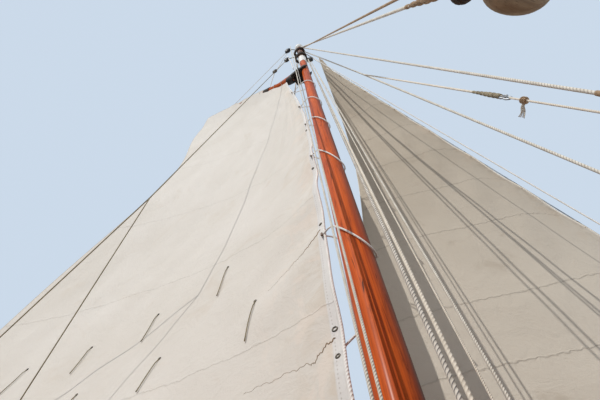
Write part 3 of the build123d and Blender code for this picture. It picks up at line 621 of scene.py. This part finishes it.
main_cloth = canvas("mainsail_canvas", (0.81, 0.775, 0.725), (0.75, 0.71, 0.65), (0.66, 0.57, 0.46),
                    (0.12, 0.31, 0.50, 0.69, 0.88), half=0.0018, tape=0.012, show=0.09)
jib_cloth = canvas("jib_canvas", (0.55, 0.48, 0.385), (0.46, 0.395, 0.31), (0.32, 0.24, 0.155),
                   (0.115, 0.225, 0.33, 0.435, 0.54, 0.64, 0.765, 0.85, 0.93), half=0.0020, tape=0.008,
                   show=0.2, foot=(0.74, 0.68, 0.59))


# Ropes: three-strand laid hemp and cotton line. Strands are ridges that wind once round in a pitch of about
# three and a half thicknesses, with dirt and painted shade darkening the valleys.
def rope_look(name, light, dark, valley_dirt_and_shade, depth=0.8):
    """Laid rope from its UV map: the turn minus the run in pitches counts the strands."""
    look = Look(name, Roughness=0.85)
    turns, run = look.along()
    ridge = (((turns - run) * 3).fraction() * pi).sine()
    tone = look.mix(look.noise(look.place(), 25, 4).between(0.3, 0.7), dark, light)
    # painted shade and dirt: each strand is lighter along its crest and darker down into the valleys between
    # strands
    look.colour(look.mix((1 - ridge.between(0.1, 0.7)) * depth, tone, valley_dirt_and_shade))
    look.bump(ridge, 0.7, 0.0016)
    return look


def rope(name, points, thick, look, body="hull", step=0.05, sag=0.0):
    """A rope through points, sampled every step; sag lowers the middle of each by that much."""
    points = np.asarray(points, float)
    reach = run_along(points)
    t = linspace(0, reach[-1], max(4, int(reach[-1] / step)))
    path = stack([np.interp(t, reach, points[:, k]) for k in range(3)], 1)
    path[:, 2] -= sag * 4 * (t / reach[-1]) * (1 - t / reach[-1])
    piece = round_bar(name, path, thick / 2, sides=12, side=(0.31, 0.87, 0.13), pitch=3.5 * thick)
    return fit(piece, look, body) if body else piece


def join(name, parts):
    """Several pieces as one."""
    with bpy.context.temp_override(active_object=parts[0], selected_editable_objects=parts):
        bpy.ops.object.join()
    parts[0].name = parts[0].data.name = name
    return parts[0]


hemp = rope_look("brown_hemp", (0.52, 0.37, 0.23), (0.36, 0.24, 0.14), (0.12, 0.075, 0.045))
cotton = rope_look("pale_line", (0.80, 0.77, 0.69), (0.66, 0.62, 0.54), (0.30, 0.27, 0.23), depth=0.6)
bold = rope_look("laid_line", (0.76, 0.72, 0.65), (0.60, 0.56, 0.49), (0.10, 0.095, 0.10), depth=0.9)
smooth_line = rope_look("braided_line", (0.82, 0.76, 0.66), (0.70, 0.64, 0.54), (0.50, 0.44, 0.35),
                        depth=0.35)
olive = rope_look("tarred_cord", (0.36, 0.31, 0.20), (0.24, 0.20, 0.125), (0.10, 0.08, 0.05))
white_line = rope_look("bleached_line", (0.88, 0.87, 0.85), (0.78, 0.77, 0.74), (0.55, 0.53, 0.50),
                       depth=0.35)

for name, shape, cloth, columns, rows, body in (
        ("mainsail", mainsail, main_cloth, 170, 200, "sail"), ("jib", jib, jib_cloth, 110, 200, "hull")):
    u, v = np.meshgrid(steps(columns), steps(rows))
    points = shape(u, v)
    piece = sheet_mesh(f"{name}_cloth", points, uv=stack([u, v], -1))
    skin = piece.modifiers.new("thickness", "SOLIDIFY")
    skin.thickness, skin.offset = 0.0012, 0.0
    fit(piece, cloth, body, name)
    corner = points[:-1, :-1]
    area = np.linalg.norm(cross(points[1:, :-1] - corner, points[:-1, 1:] - corner), axis=-1).sum()
    wide = np.linalg.norm(np.diff(points, axis=1), axis=-1).sum(1).max()

t = steps(160)
edges = {"luff": (0, t), "leech": (1, t), "foot": (t, 0), "head": (t, 1), "base": (t, 1)}
bolt_ropes = {}
for sail, shape, body, thicks in (
        ("main", mainsail, "sail", {"luff": 0.011, "leech": 0.005, "foot": 0.008, "head": 0.006}),
        ("jib", jib, "hull", {"luff": 0.011, "leech": 0.005, "base": 0.006})):
    bolt_ropes[sail] = []
    for edge, thick in thicks.items():
        piece = round_bar(f"{sail}_{edge}_rope", shape(*edges[edge]), thick / 2, sides=10,
                          side=(0.31, 0.87, 0.13), pitch=3.5 * thick)
        beside_mast = (sail, edge) == ("main", "luff")
        bolt_ropes[sail].append(fit(piece, white_line if beside_mast else smooth_line, body))


# Reef points: short tarred cords through worked eyelets in two rows, hanging down both faces of the sail, with
# dark metal eyelets beside the luff and the leech. Two thin brown cords that run in from the luff are painted
# shade, standing for the shadows of creases there.
tops = array([(0.251, 0.283), (0.417, 0.248), (0.571, 0.227), (0.738, 0.220), (0.900, 0.218),
                 (0.140, 0.179), (0.328, 0.161), (0.500, 0.153), (0.670, 0.150), (0.835, 0.149)])
ends = array([(0.248, 0.229), (0.413, 0.204), (0.572, 0.191), (0.753, 0.190), (0.905, 0.180),
                 (0.143, 0.126), (0.334, 0.121), (0.494, 0.112), (0.668, 0.108), (0.838, 0.106)])
t = steps(14)
cord_r = 0.0021 + 0.0014 * np.exp(-((t - 0.97) / 0.03) ** 2)
cords = []
for face in (0.007, -0.007):
    for k, (top, end) in enumerate(zip(tops, ends)):
        way = top + (end - top) * t[:, None]
        path = mainsail(way[:, 0] + 0.0007 * sin(t * 5 + k), way[:, 1], face * (0.3 + 0.7 * smooth(t * 6)))
        cords.append(round_bar("reef", path, cord_r, sides=8, pitch=0.02))
reefs = fit(join("reef_points", cords), olive, "sail")


def ring_on(name, centre, across, up, big, small):
    """A torus: a small circle carried round a big one in the plane of two directions."""
    a = circle(20)[:, None]
    path = centre + big * (cos(a) * across + sin(a) * up)
    return round_bar(name, path, small, sides=8, closed=True, side=cross(across, up), pitch=0.02)


eyes = []
for u0, v0, big in [
        (0.007, 0.245, 0.0065), (0.008, 0.092, 0.008), (0.008, 0.064, 0.0065), (0.010, 0.40, 0.006),
        (0.010, 0.56, 0.006), (0.010, 0.72, 0.006), (0.985, 0.218, 0.010), (0.985, 0.148, 0.010),
        *[(*top, 0.005) for top in tops]]:
    here, right, above = mainsail(u0, v0, 0.0015), mainsail(u0 + 0.01, v0), mainsail(u0, v0 + 0.01)
    across = unit(right - here)
    up = unit((above - here) - across * ((above - here) @ across))
    eyes.append(ring_on("eyelet", here, across, up, big, 0.0024))
verdigris = metal("worked_eyelets", (0.16, 0.14, 0.11), (0.05, 0.045, 0.04))
eyelets = fit(join("sail_eyelets", eyes), verdigris, "sail")

# painted shade: two tapering brown cords lie on the sail where creases from the luff cast shadows
crease_shadow_lines = []
for line in (((0.008, 0.233), (0.028, 0.220), (0.040, 0.214), (0.048, 0.209), (0.062, 0.206), (0.082, 0.198),
              (0.116, 0.185)),
             ((0.009, 0.083), (0.020, 0.080), (0.031, 0.073), (0.037, 0.067), (0.043, 0.069), (0.064, 0.069),
              (0.095, 0.068), (0.128, 0.068))):
    corners = np.arange(len(line))
    t = linspace(0, corners[-1], 60)
    u0, v0 = (np.interp(t, corners, array(line)[:, i]) for i in range(2))
    path = mainsail(u0, v0 + 0.0018 * sin(t * 5) * sin(t * 11), 0.001)
    thin = 0.0016 * (1.05 - t / t[-1]) ** 2 + 0.0003
    crease_shadow_lines.append(round_bar("crease_shadow", path, thin, sides=6, pitch=0.01))
crease_shadows = fit(join("luff_crease_shadows", crease_shadow_lines), hemp, "sail")


# Lacing and hoops: the head is laced to the gaff with turns of thin line, and loose rope hoops, each closed
# by a wooden toggle at the luff, droop round the front of the mast.
lacing = []
a = circle(26)
r = (0.0345 + 0.012 * np.clip(cos(a - 2.6), 0, 1) ** 4)[:, None]
turn_of_line = (r * (cos(a)[:, None] * gaff_under - sin(a)[:, None] * gaff_near)
                + gaff_way * 0.01 * sin(a / 2)[:, None])
for u0 in linspace(0.04, 0.985, 13):
    along = gaff_root + gaff_way * ((mainsail(u0, 1.0) - gaff_root) @ gaff_way)
    lacing.append(round_bar("lace", along + turn_of_line, 0.0022, sides=6, closed=True,
                            side=gaff_way, pitch=0.02))
fit(join("gaff_lacing", lacing), cotton, "sail")

hoops, toggles = [], []
a = circle(90) - pi
t = linspace(-1, 1, 8)
for v0, drop in ((0.218, 0.27), (0.427, 0.33), (0.582, 0.26), (0.709, 0.20), (0.855, 0.20)):
    luff = mainsail(0.004, v0)
    off = luff[:2] - (mast_x, 0)
    far_off, facing = np.hypot(*off), np.arctan2(off[1], off[0])
    r = mast_r(luff[2] - drop / 2) + 0.0075
    touch = np.arccos(r / far_off)
    wide = np.where(np.abs(a) < touch, r / cos(touch - np.abs(a)), r)
    path = stack([mast_x + wide * cos(facing + a), wide * sin(facing + a),
                     luff[2] - drop * (0.5 - 0.5 * cos(a)) ** 0.8], 1)
    hoops.append(round_bar("hoop", path, 0.0034, sides=10, closed=True, side=(0.2, 0.1, 0.97),
                           pitch=0.022))
    toggle_line = luff + gaff_near * 0.008 + np.outer(t, (0.004, 0.006, 0.022))
    toggles.append(round_bar("toggle", toggle_line, 0.006 - 0.0025 * np.abs(t), sides=12))
fit(join("mast_hoop_ropes", hoops), white_line, "sail", "mast_hoops")
toggle_wood = timber("toggle_wood", (0.22, 0.13, 0.07), (0.10, 0.055, 0.03), grain=(40, 40, 8), gloss=0.5,
                     coat=0.1)
fit(join("hoop_toggles", toggles), toggle_wood, "sail")
low = mainsail(0.002, 0.066)
rope("tack_lashing", [low, low + (0.02, 0.012, 0.045), (0.955, 0.066, 1.12), (1.012, 0.030, 1.14)], 0.007,
     white_line, "sail", step=0.02)


# Blocks: small black-painted wooden shells on rope strops at the masthead, for the halyards, and six served
# strops round the pole head and the mast.
def block_shell(name, centre, way, face, length, width, thick):
    """An oval shell: an ellipse along way, whose sections across it are superellipses with a flat cheek."""
    way = unit(way)
    face = unit(face - way * (face @ way))
    across = cross(way, face)
    a = linspace(0, pi, 20)[:, None, None]
    b = circle(28)[None, :, None]
    full = sin(a) ** 0.8 + 1e-4
    grid = (centre - cos(a) * way * length / 2
            + full * power(cos(b), 0.7) * across * width / 2
            + full * power(sin(b), 0.7) * face * thick / 2)
    return sheet_mesh(name, grid, wrap=True, ends=True, flip=True)


black_shell = patchy("black_shell", (0.012, 0.011, 0.011), (0.12, 0.07, 0.04), (1, 1, 1), (70, 5), (0.6, 0.75),
                     Roughness=0.5, Coat_Weight=0.08, Specular_IOR_Level=0.3)
peak_block, lift_block = array([0.800, 0.030, 5.95]), array([0.800, 0.084, 5.60])
jib_block, gaff_block = array([1.045, -0.010, 5.56]), array([0.700, 0.210, 5.37])
out = (-0.6, -0.8, 0.1)
shells = [block_shell("peak_shell", peak_block, (-0.3, 0.5, -1), out, 0.095, 0.062, 0.045),
          block_shell("lift_shell", lift_block, (-0.2, 0.4, -1), out, 0.085, 0.058, 0.042),
          block_shell("span_shell", gaff_block, gaff_block - lift_block, out, 0.070, 0.045, 0.034)]
fit(join("halyard_blocks", shells), black_shell, "sail")
fit(block_shell("jib_halyard_block", jib_block, (0.1, 0, -1), out, 0.11, 0.075, 0.05), black_shell)
loops = []
a = circle(44)
tail = cos(a - 2.4)
for z, tilt, big, thick in (
        (6.035, 0.10, 0.046, 0.011), (6.000, -0.15, 0.048, 0.012), (5.965, 0.22, 0.050, 0.011),
        (5.620, 0.20, 0.050, 0.010), (5.585, -0.12, 0.050, 0.012), (5.545, 0.25, 0.052, 0.010)):
    wide = big + 0.020 * np.clip(tail, 0, 1) ** 6
    path = stack([mast_x + wide * cos(a), wide * sin(a), z - tilt * wide * tail], 1)
    loops.append(round_bar("strop", path, thick, sides=12, closed=True, side=(0.1, 0.2, 1),
                           pitch=0.008))
fit(join("masthead_strops", loops), served)
for name, points, body in (
        ("peak_strop", [(mast_x - 0.035, 0.004, 6.09), (0.85, 0.012, 6.06), peak_block + (0.01, 0, 0.045)],
         "sail"),
        ("lift_strop", [(mast_x - 0.03, 0.03, 5.78), (0.86, 0.06, 5.73), lift_block + (0, 0, 0.04)], "sail"),
        ("jib_strop", [(mast_x + 0.036, 0, 5.72), (1.02, -0.005, 5.68), jib_block + (0, 0, 0.05)], "hull")):
    rope(name, points, 0.009, olive, body, step=0.02)


# Halyards, falls and lifts, led from the masthead blocks to the gaff, the boom and the pins on the mast
# thwart. The gaff's own lines turn with the sail; the two falls beside the mast twist between sail and boat.
def on_gaff(distance, up=0.03):
    """A point on the gaff's top at a distance from its heel."""
    return gaff_root + gaff_way * distance - gaff_under * up


lift_fork = (0.141, 0.482, 2.272)
for name, points, thick, look in (
        ("peak_halyard", [peak_block, on_gaff(1.48)], 0.007, white_line),
        ("span_halyard", [lift_block, gaff_block], 0.006, white_line),
        ("span_halyard_2", [peak_block + (0, 0.02, -0.03), gaff_block + (0.01, 0.01, 0.02)], 0.006,
         white_line),
        ("gaff_strop", [gaff_block, on_gaff(0.62, 0.10), on_gaff(0.55)], 0.009, white_line),
        ("lift_span", [lift_block, lift_fork], 0.006, olive),
        ("lift_leg_1", [lift_fork, boom_root + boom_way * 2.90 + (0, 0, 0.04)], 0.006, olive),
        ("lift_leg_2", [lift_fork, boom_root + boom_way * 1.48 + (-0.025, -0.022, 0.04)], 0.005, olive),
        ("throat_tail", [(0.803, 0.062, 5.72), (0.835, 0.060, 5.40), (0.86, 0.07, 5.05)], 0.010, white_line)):
    rope(name, points, thick, look, "sail")
pin_z = 0.335
gaff_fall_feet = [(0.8025, -0.1346), (0.8178, -0.1397)]
for name, top, foot in (
        ("throat_fall", (0.817, -0.014, 6.10), gaff_fall_feet[0]),
        ("peak_fall", (0.868, 0.028, 6.00), gaff_fall_feet[1])):
    fall = rope(name, [top, (*foot, pin_z)], 0.0072, cotton, None)
    cotton.on(fall)
    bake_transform(fall)
jib_fall_feet = [(1.054, -0.078), (1.078, -0.088), (1.090, -0.131), (1.100, -0.164)]
for k, (top, thick, look) in enumerate((
        ((1.018, -0.016, 5.52), 0.0125, bold), ((1.023, -0.004, 5.52), 0.012, smooth_line),
        ((1.055, -0.004, 5.52), 0.0055, smooth_line), ((1.058, 0.000, 5.52), 0.007, cotton))):
    rope(f"fall_{k + 1}", [top, (*jib_fall_feet[k], pin_z)], thick, look)
rope("signal_line", [(1.010, -0.012, 5.95), (2.760, -0.230, 0.840)], 0.008, white_line)


# Shrouds: two laid ropes a side, spliced round deadeyes and set up with lanyards to the chainplates. The
# after one has a long served splice, a dark seizing and an oval wooden block lashed inside it.
shroud_parts, lanyard_parts, splice_parts = [], [], []
t = steps(20)
for hand in (-1, 1):
    for foot, drop in (((0.880, 0.963, 0.688), 0.0), ((1.440, 0.820, 0.720), 0.012)):
        foot = array(foot) * (1, hand, 1)
        top = array([mast_x + drop, hand * (mast_r(band_z) + 0.020), band_z - drop])
        run = unit(top - foot)
        low, high = foot + run * 0.04, foot + run * 0.33
        shroud_parts.append(rope("shroud", [high + run * 0.02, top], 0.0125, cotton, None))
        for across in (-0.018, 0, 0.018):
            pair = [low + (across, 0, 0.006), high + (across, 0, -0.006)]
            lanyard_parts.append(rope("lanyard", pair, 0.006, hemp, None))
        for first, last, thick in ((0.055, 0.20, 0.0085), (0.27, 0.33, 0.0080)):
            line = high + run * (first + (last - first) * t)[:, None]
            splice_parts.append(round_bar("splice", line, thick + 0.003 * (1 - t),
                                          sides=14, side=(1, 0, 0), pitch=0.012))
fit(join("shroud_ropes", shroud_parts), cotton, "hull", "shrouds")
fit(join("shroud_lanyards", lanyard_parts), hemp)
fit(join("shroud_splices", splice_parts), hemp)
lignum = timber("deadeye_wood", (0.30, 0.20, 0.10), (0.14, 0.08, 0.035), grain=(60, 60, 8), gloss=0.5)
lignum.on("deadeyes")
weathered = timber("weathered_ash", (0.46, 0.37, 0.25), (0.17, 0.125, 0.08), grain=(3, 70, 70), gloss=0.7,
                   coat=0.0, knots=0.8)
for hand, side_name in ((-1, "starboard"), (1, "port")):
    side = array([1, -hand, 1])
    up_at, down_at = array([0.8957, -0.765, 1.858]) * side, array([0.8915, -0.8195, 1.537]) * side
    t = steps(40)
    girth = 0.0072 + 0.0065 * smooth(t * 1.2) + 0.0012 * sin(t * 31)
    fit(round_bar(f"served_splice_{side_name}", up_at + (down_at - up_at) * t[:, None], girth, sides=18,
                  side=(1, 0, 0), pitch=0.006), hemp)
    run = unit(down_at - up_at)
    at = array([0.8950, -0.8220, 1.425]) * side
    t = steps(24)
    girth = 0.014 + 0.014 * sin(pi * t) + 0.002 * sin(40 * t)
    fit(round_bar(f"shroud_seizing_{side_name}", at + run * 0.095 * t[:, None], girth, sides=18,
                  side=(1, 0, 0), pitch=0.008), served)
    fit(block_shell(f"shroud_block_{side_name}", array([0.899, -0.853, 1.1055]) * side, view_right * side,
                    view_ahead * side, 0.145, 0.115, 0.055), weathered)
    lashing = array([(0.8890, -0.853, 1.345), (0.893, -0.853, 1.25), (0.899, -0.853, 1.15)]) * side
    rope(f"block_lashing_{side_name}", lashing, 0.010, hemp, step=0.01)


# The starboard runner and preventer: a brown hemp runner beside the after shroud, and pale rope that forks to
# the rail further forward. Its after leg is spliced round a thimble and shackled to a tail with a knot and a
# frayed tassel.
fork = array([1.30, -0.262, 3.85])
leg_foot = array([1.383, -0.786, 0.676])
leg_way = leg_foot - fork


def on_leg(height):
    """The point of the after leg at a height."""
    return fork + leg_way * (height - fork[2]) / leg_way[2]


for name, points, thick, look in (
        ("runner_a", [(0.965, -0.050, 6.03), (0.790, -0.958, 0.640)], 0.010, hemp),
        ("preventer", [(0.985, -0.020, 6.03), fork], 0.012, cotton),
        ("preventer_aft_leg", [fork, on_leg(1.79)], 0.010, smooth_line),
        ("preventer_tail", [on_leg(1.74), leg_foot], 0.0075, smooth_line),
        ("preventer_fore_leg", [fork, (1.912, -0.578, 0.717)], 0.013, cotton)):
    rope(name, points, thick, look)
khaki = rope_look("khaki_serving", (0.42, 0.36, 0.24), (0.26, 0.21, 0.13), (0.05, 0.04, 0.025))
t = steps(40)
girth = 0.0055 + 0.0045 * smooth(t * 1.4) + 0.0008 * sin(t * 43)
fit(round_bar("preventer_splice", on_leg(2.02 - 0.22 * t[:, None]), girth, sides=16, side=(1, 0, 0),
              pitch=0.006), khaki)
leg_run = unit(leg_way)
broad = unit(cross(leg_run, (0.18, 0.395, 0.90)))
deep = cross(broad, leg_run)
fit(ring_on("preventer_thimble", on_leg(1.785) + leg_run * 0.004, leg_run, broad, 0.013, 0.0045), galvanised)
a = circle(30)[:, None] - 0.5 * pi
bow = on_leg(1.755) + 0.011 * cos(a) * broad + 0.021 * sin(a) * leg_run + 0.002 * deep
fit(round_bar("preventer_shackle", bow, 0.0036, sides=12, closed=True, side=deep), galvanised)
knot_at = on_leg(1.652)
t = steps(70)[:, None]
turn = cos(t * 17) * broad + sin(t * 17) * deep
knot_path = knot_at + leg_run * (t * 0.030 - 0.012) + 0.0082 * turn
fit(round_bar("preventer_knot", knot_path, 0.0048, sides=10, side=leg_run + 0.2 * broad, pitch=0.02), hemp)
hang = unit(view_down - leg_run * 0.1)
t = steps(12)[:, None]
wisps = []
for k in range(9):
    spread = leg_run * (0.0055 * (k - 4) * t ** 1.5 - 0.006 * t)
    path = knot_at + hang * (0.008 + 0.052 * t) + spread + 0.004 * sin(t * 6 + k) * cross(hang, leg_run)
    wisps.append(round_bar("wisp", path, 0.0026 * (1 - 0.5 * t[:, 0]), sides=8, pitch=0.01))
fit(join("preventer_tassel", wisps), cotton)


# The pin rails: oak boards screwed across the fore and after edges of the mast thwart on the starboard side,
# with turned ash belaying pins; each fall is made fast on its pin with three round turns.
def board(name, centre, half, height, ease=0.004):
    """A rounded rectangle, |x/a|^8 + |y/b|^8 = 1, carried up through four heights with eased edges."""
    a = circle(64)
    outline = stack([power(cos(a), 0.25), power(sin(a), 0.25)], 1)
    rise = array([0, ease, height - ease, height])[:, None, None]
    inset = array([ease, 0, 0, ease])[:, None, None]
    level = np.broadcast_to(centre[2] + rise, (4, 64, 1))
    grid = concatenate([outline * (array(half) - inset) + centre[:2], level], -1)
    return sheet_mesh(name, grid, wrap=True, ends=True)


pin_rise = array([-0.055, -0.050, -0.005, 0.0, 0.006, 0.012, 0.03, 0.045, 0.055, 0.060])
pin_r = array([0.003, 0.0055, 0.0065, 0.0068, 0.0105, 0.0075, 0.0085, 0.0095, 0.007, 0.002])
t = steps(90)
coil = stack([0.0135 * cos(t * 6 * pi), 0.0135 * sin(t * 6 * pi), 0.348 + 0.030 * t], 1)
pins, belays = [], []
for end, centre, half, feet in (
        ("fore", (1.085, -0.120, 0.3175), (0.038, 0.085), jib_fall_feet),
        ("aft", (0.822, -0.135, 0.3175), (0.032, 0.075), gaff_fall_feet)):
    fit(board(f"pin_rail_{end}", centre, half, 0.022), oak)
    for x, y in feet:
        pins.append(turned_shape("pin", (x, y, 0.340), stack([pin_r, pin_rise], 1), sides=20))
        belays.append(round_bar("turns", coil + (x, y, 0), 0.0045, sides=10,
                                side=(0.1, 0.2, 1), pitch=0.03))
fit(join("belaying_pins", pins), ash)
fit(join("belayed_turns", belays), cotton)


# The jib's sheet: soft braided line from a bronze ring at the clew, made fast on the port inwale. Each hank
# on the stay is seized to the luff with dark serving.
clew_at = jib(1.0, 1.0)
inwale_at = array([0.36, 0.905, 0.625])
rope("jib_sheet", [clew_at, (clew_at + inwale_at) / 2, inwale_at + (0, 0, 0.006)], 0.010, smooth_line,
     sag=0.02)
fit(ring_on("jib_clew_ring", clew_at, unit(inwale_at - clew_at), (0, 0, 1), 0.014, 0.003), bronze)
stay_way = unit(stay_low - stay_high)
hank_bits = [ring_on(f"seizing_{k}", jib(0.0, share) + (0.010, 0, 0.010), stay_way, (0.7, 0, 0.7), 0.016,
                     0.0035) for k, share in enumerate(linspace(0.03, 0.97, 10)[1:-1])]
fit(join("hank_seizings", hank_bits), served)


# Copper rivets: the planks are clenched through every lap at each rib, with small domed heads outside. A ray
# comes in at each height, and the lap is where the outermost plank changes.
planks = [BVHTree.FromPolygons([v.co for v in mesh.vertices], [p.vertices for p in mesh.polygons])
          for mesh in (nodes[f"strake_{k}"].data for k in range(1, 7))]
rib_gap, ray_from, keel_half = 0.16, 1.6, 0.05
laps = []
for x in np.arange(-2.2, 2.35, rib_gap):
    for hand in (-1, 1):
        above = None
        for z in np.arange(0.62, 0.0, -0.006):
            casts = [plank.ray_cast((x, hand * ray_from, z), (0, -hand, 0)) for plank in planks]
            hits = [(k, cast[0], cast[1]) for k, cast in enumerate(casts)
                    if cast[0] is not None and abs(cast[0].y) > keel_half]
            if hits:
                outer = max(hits, key=lambda hit: abs(hit[1].y))
                if above and above[0] != outer[0]:
                    laps.append((*above[1], *above[2]))
                above = outer
laps = array(laps)
facing = unit(laps[:, 3:] * np.sign(laps[:, 4] * laps[:, 1])[:, None])[:, None]
centre = laps[:, None, :3] + (0, 0, 0.012)
lean = unit(cross(facing, (1.0, 0.01, 0.02)))
other = cross(facing, lean)
a = circle(8)[:, None]
rims = [centre + r * (cos(a) * lean + sin(a) * other) + h * facing
        for r, h in ((0.0052, -0.002), (0.0050, 0.0006), (0.0032, 0.0018))]
points = concatenate([*rims, centre + 0.0022 * facing], 1)
i = np.arange(8)
j = (i + 1) % 8
quads = concatenate([stack([i, j, j + 8, i + 8], 1), stack([i + 8, j + 8, j + 16, i + 16], 1)])
caps = stack([i + 16, j + 16, np.full(8, 24)], 1)
base = np.arange(len(laps))[:, None, None] * 25
faces = (quads + base).reshape(-1, 4).tolist() + (caps + base).reshape(-1, 3).tolist()
heads = bpy.data.meshes.new("plank_rivets")
heads.from_pydata(points.reshape(-1, 3).tolist(), [], faces)
heads.polygons.foreach_set("use_smooth", [True] * len(faces))
copper = metal("copper_rivets", (0.55, 0.27, 0.14), (0.22, 0.10, 0.06), scale=200)
fit(placed("plank_rivets", heads), copper)
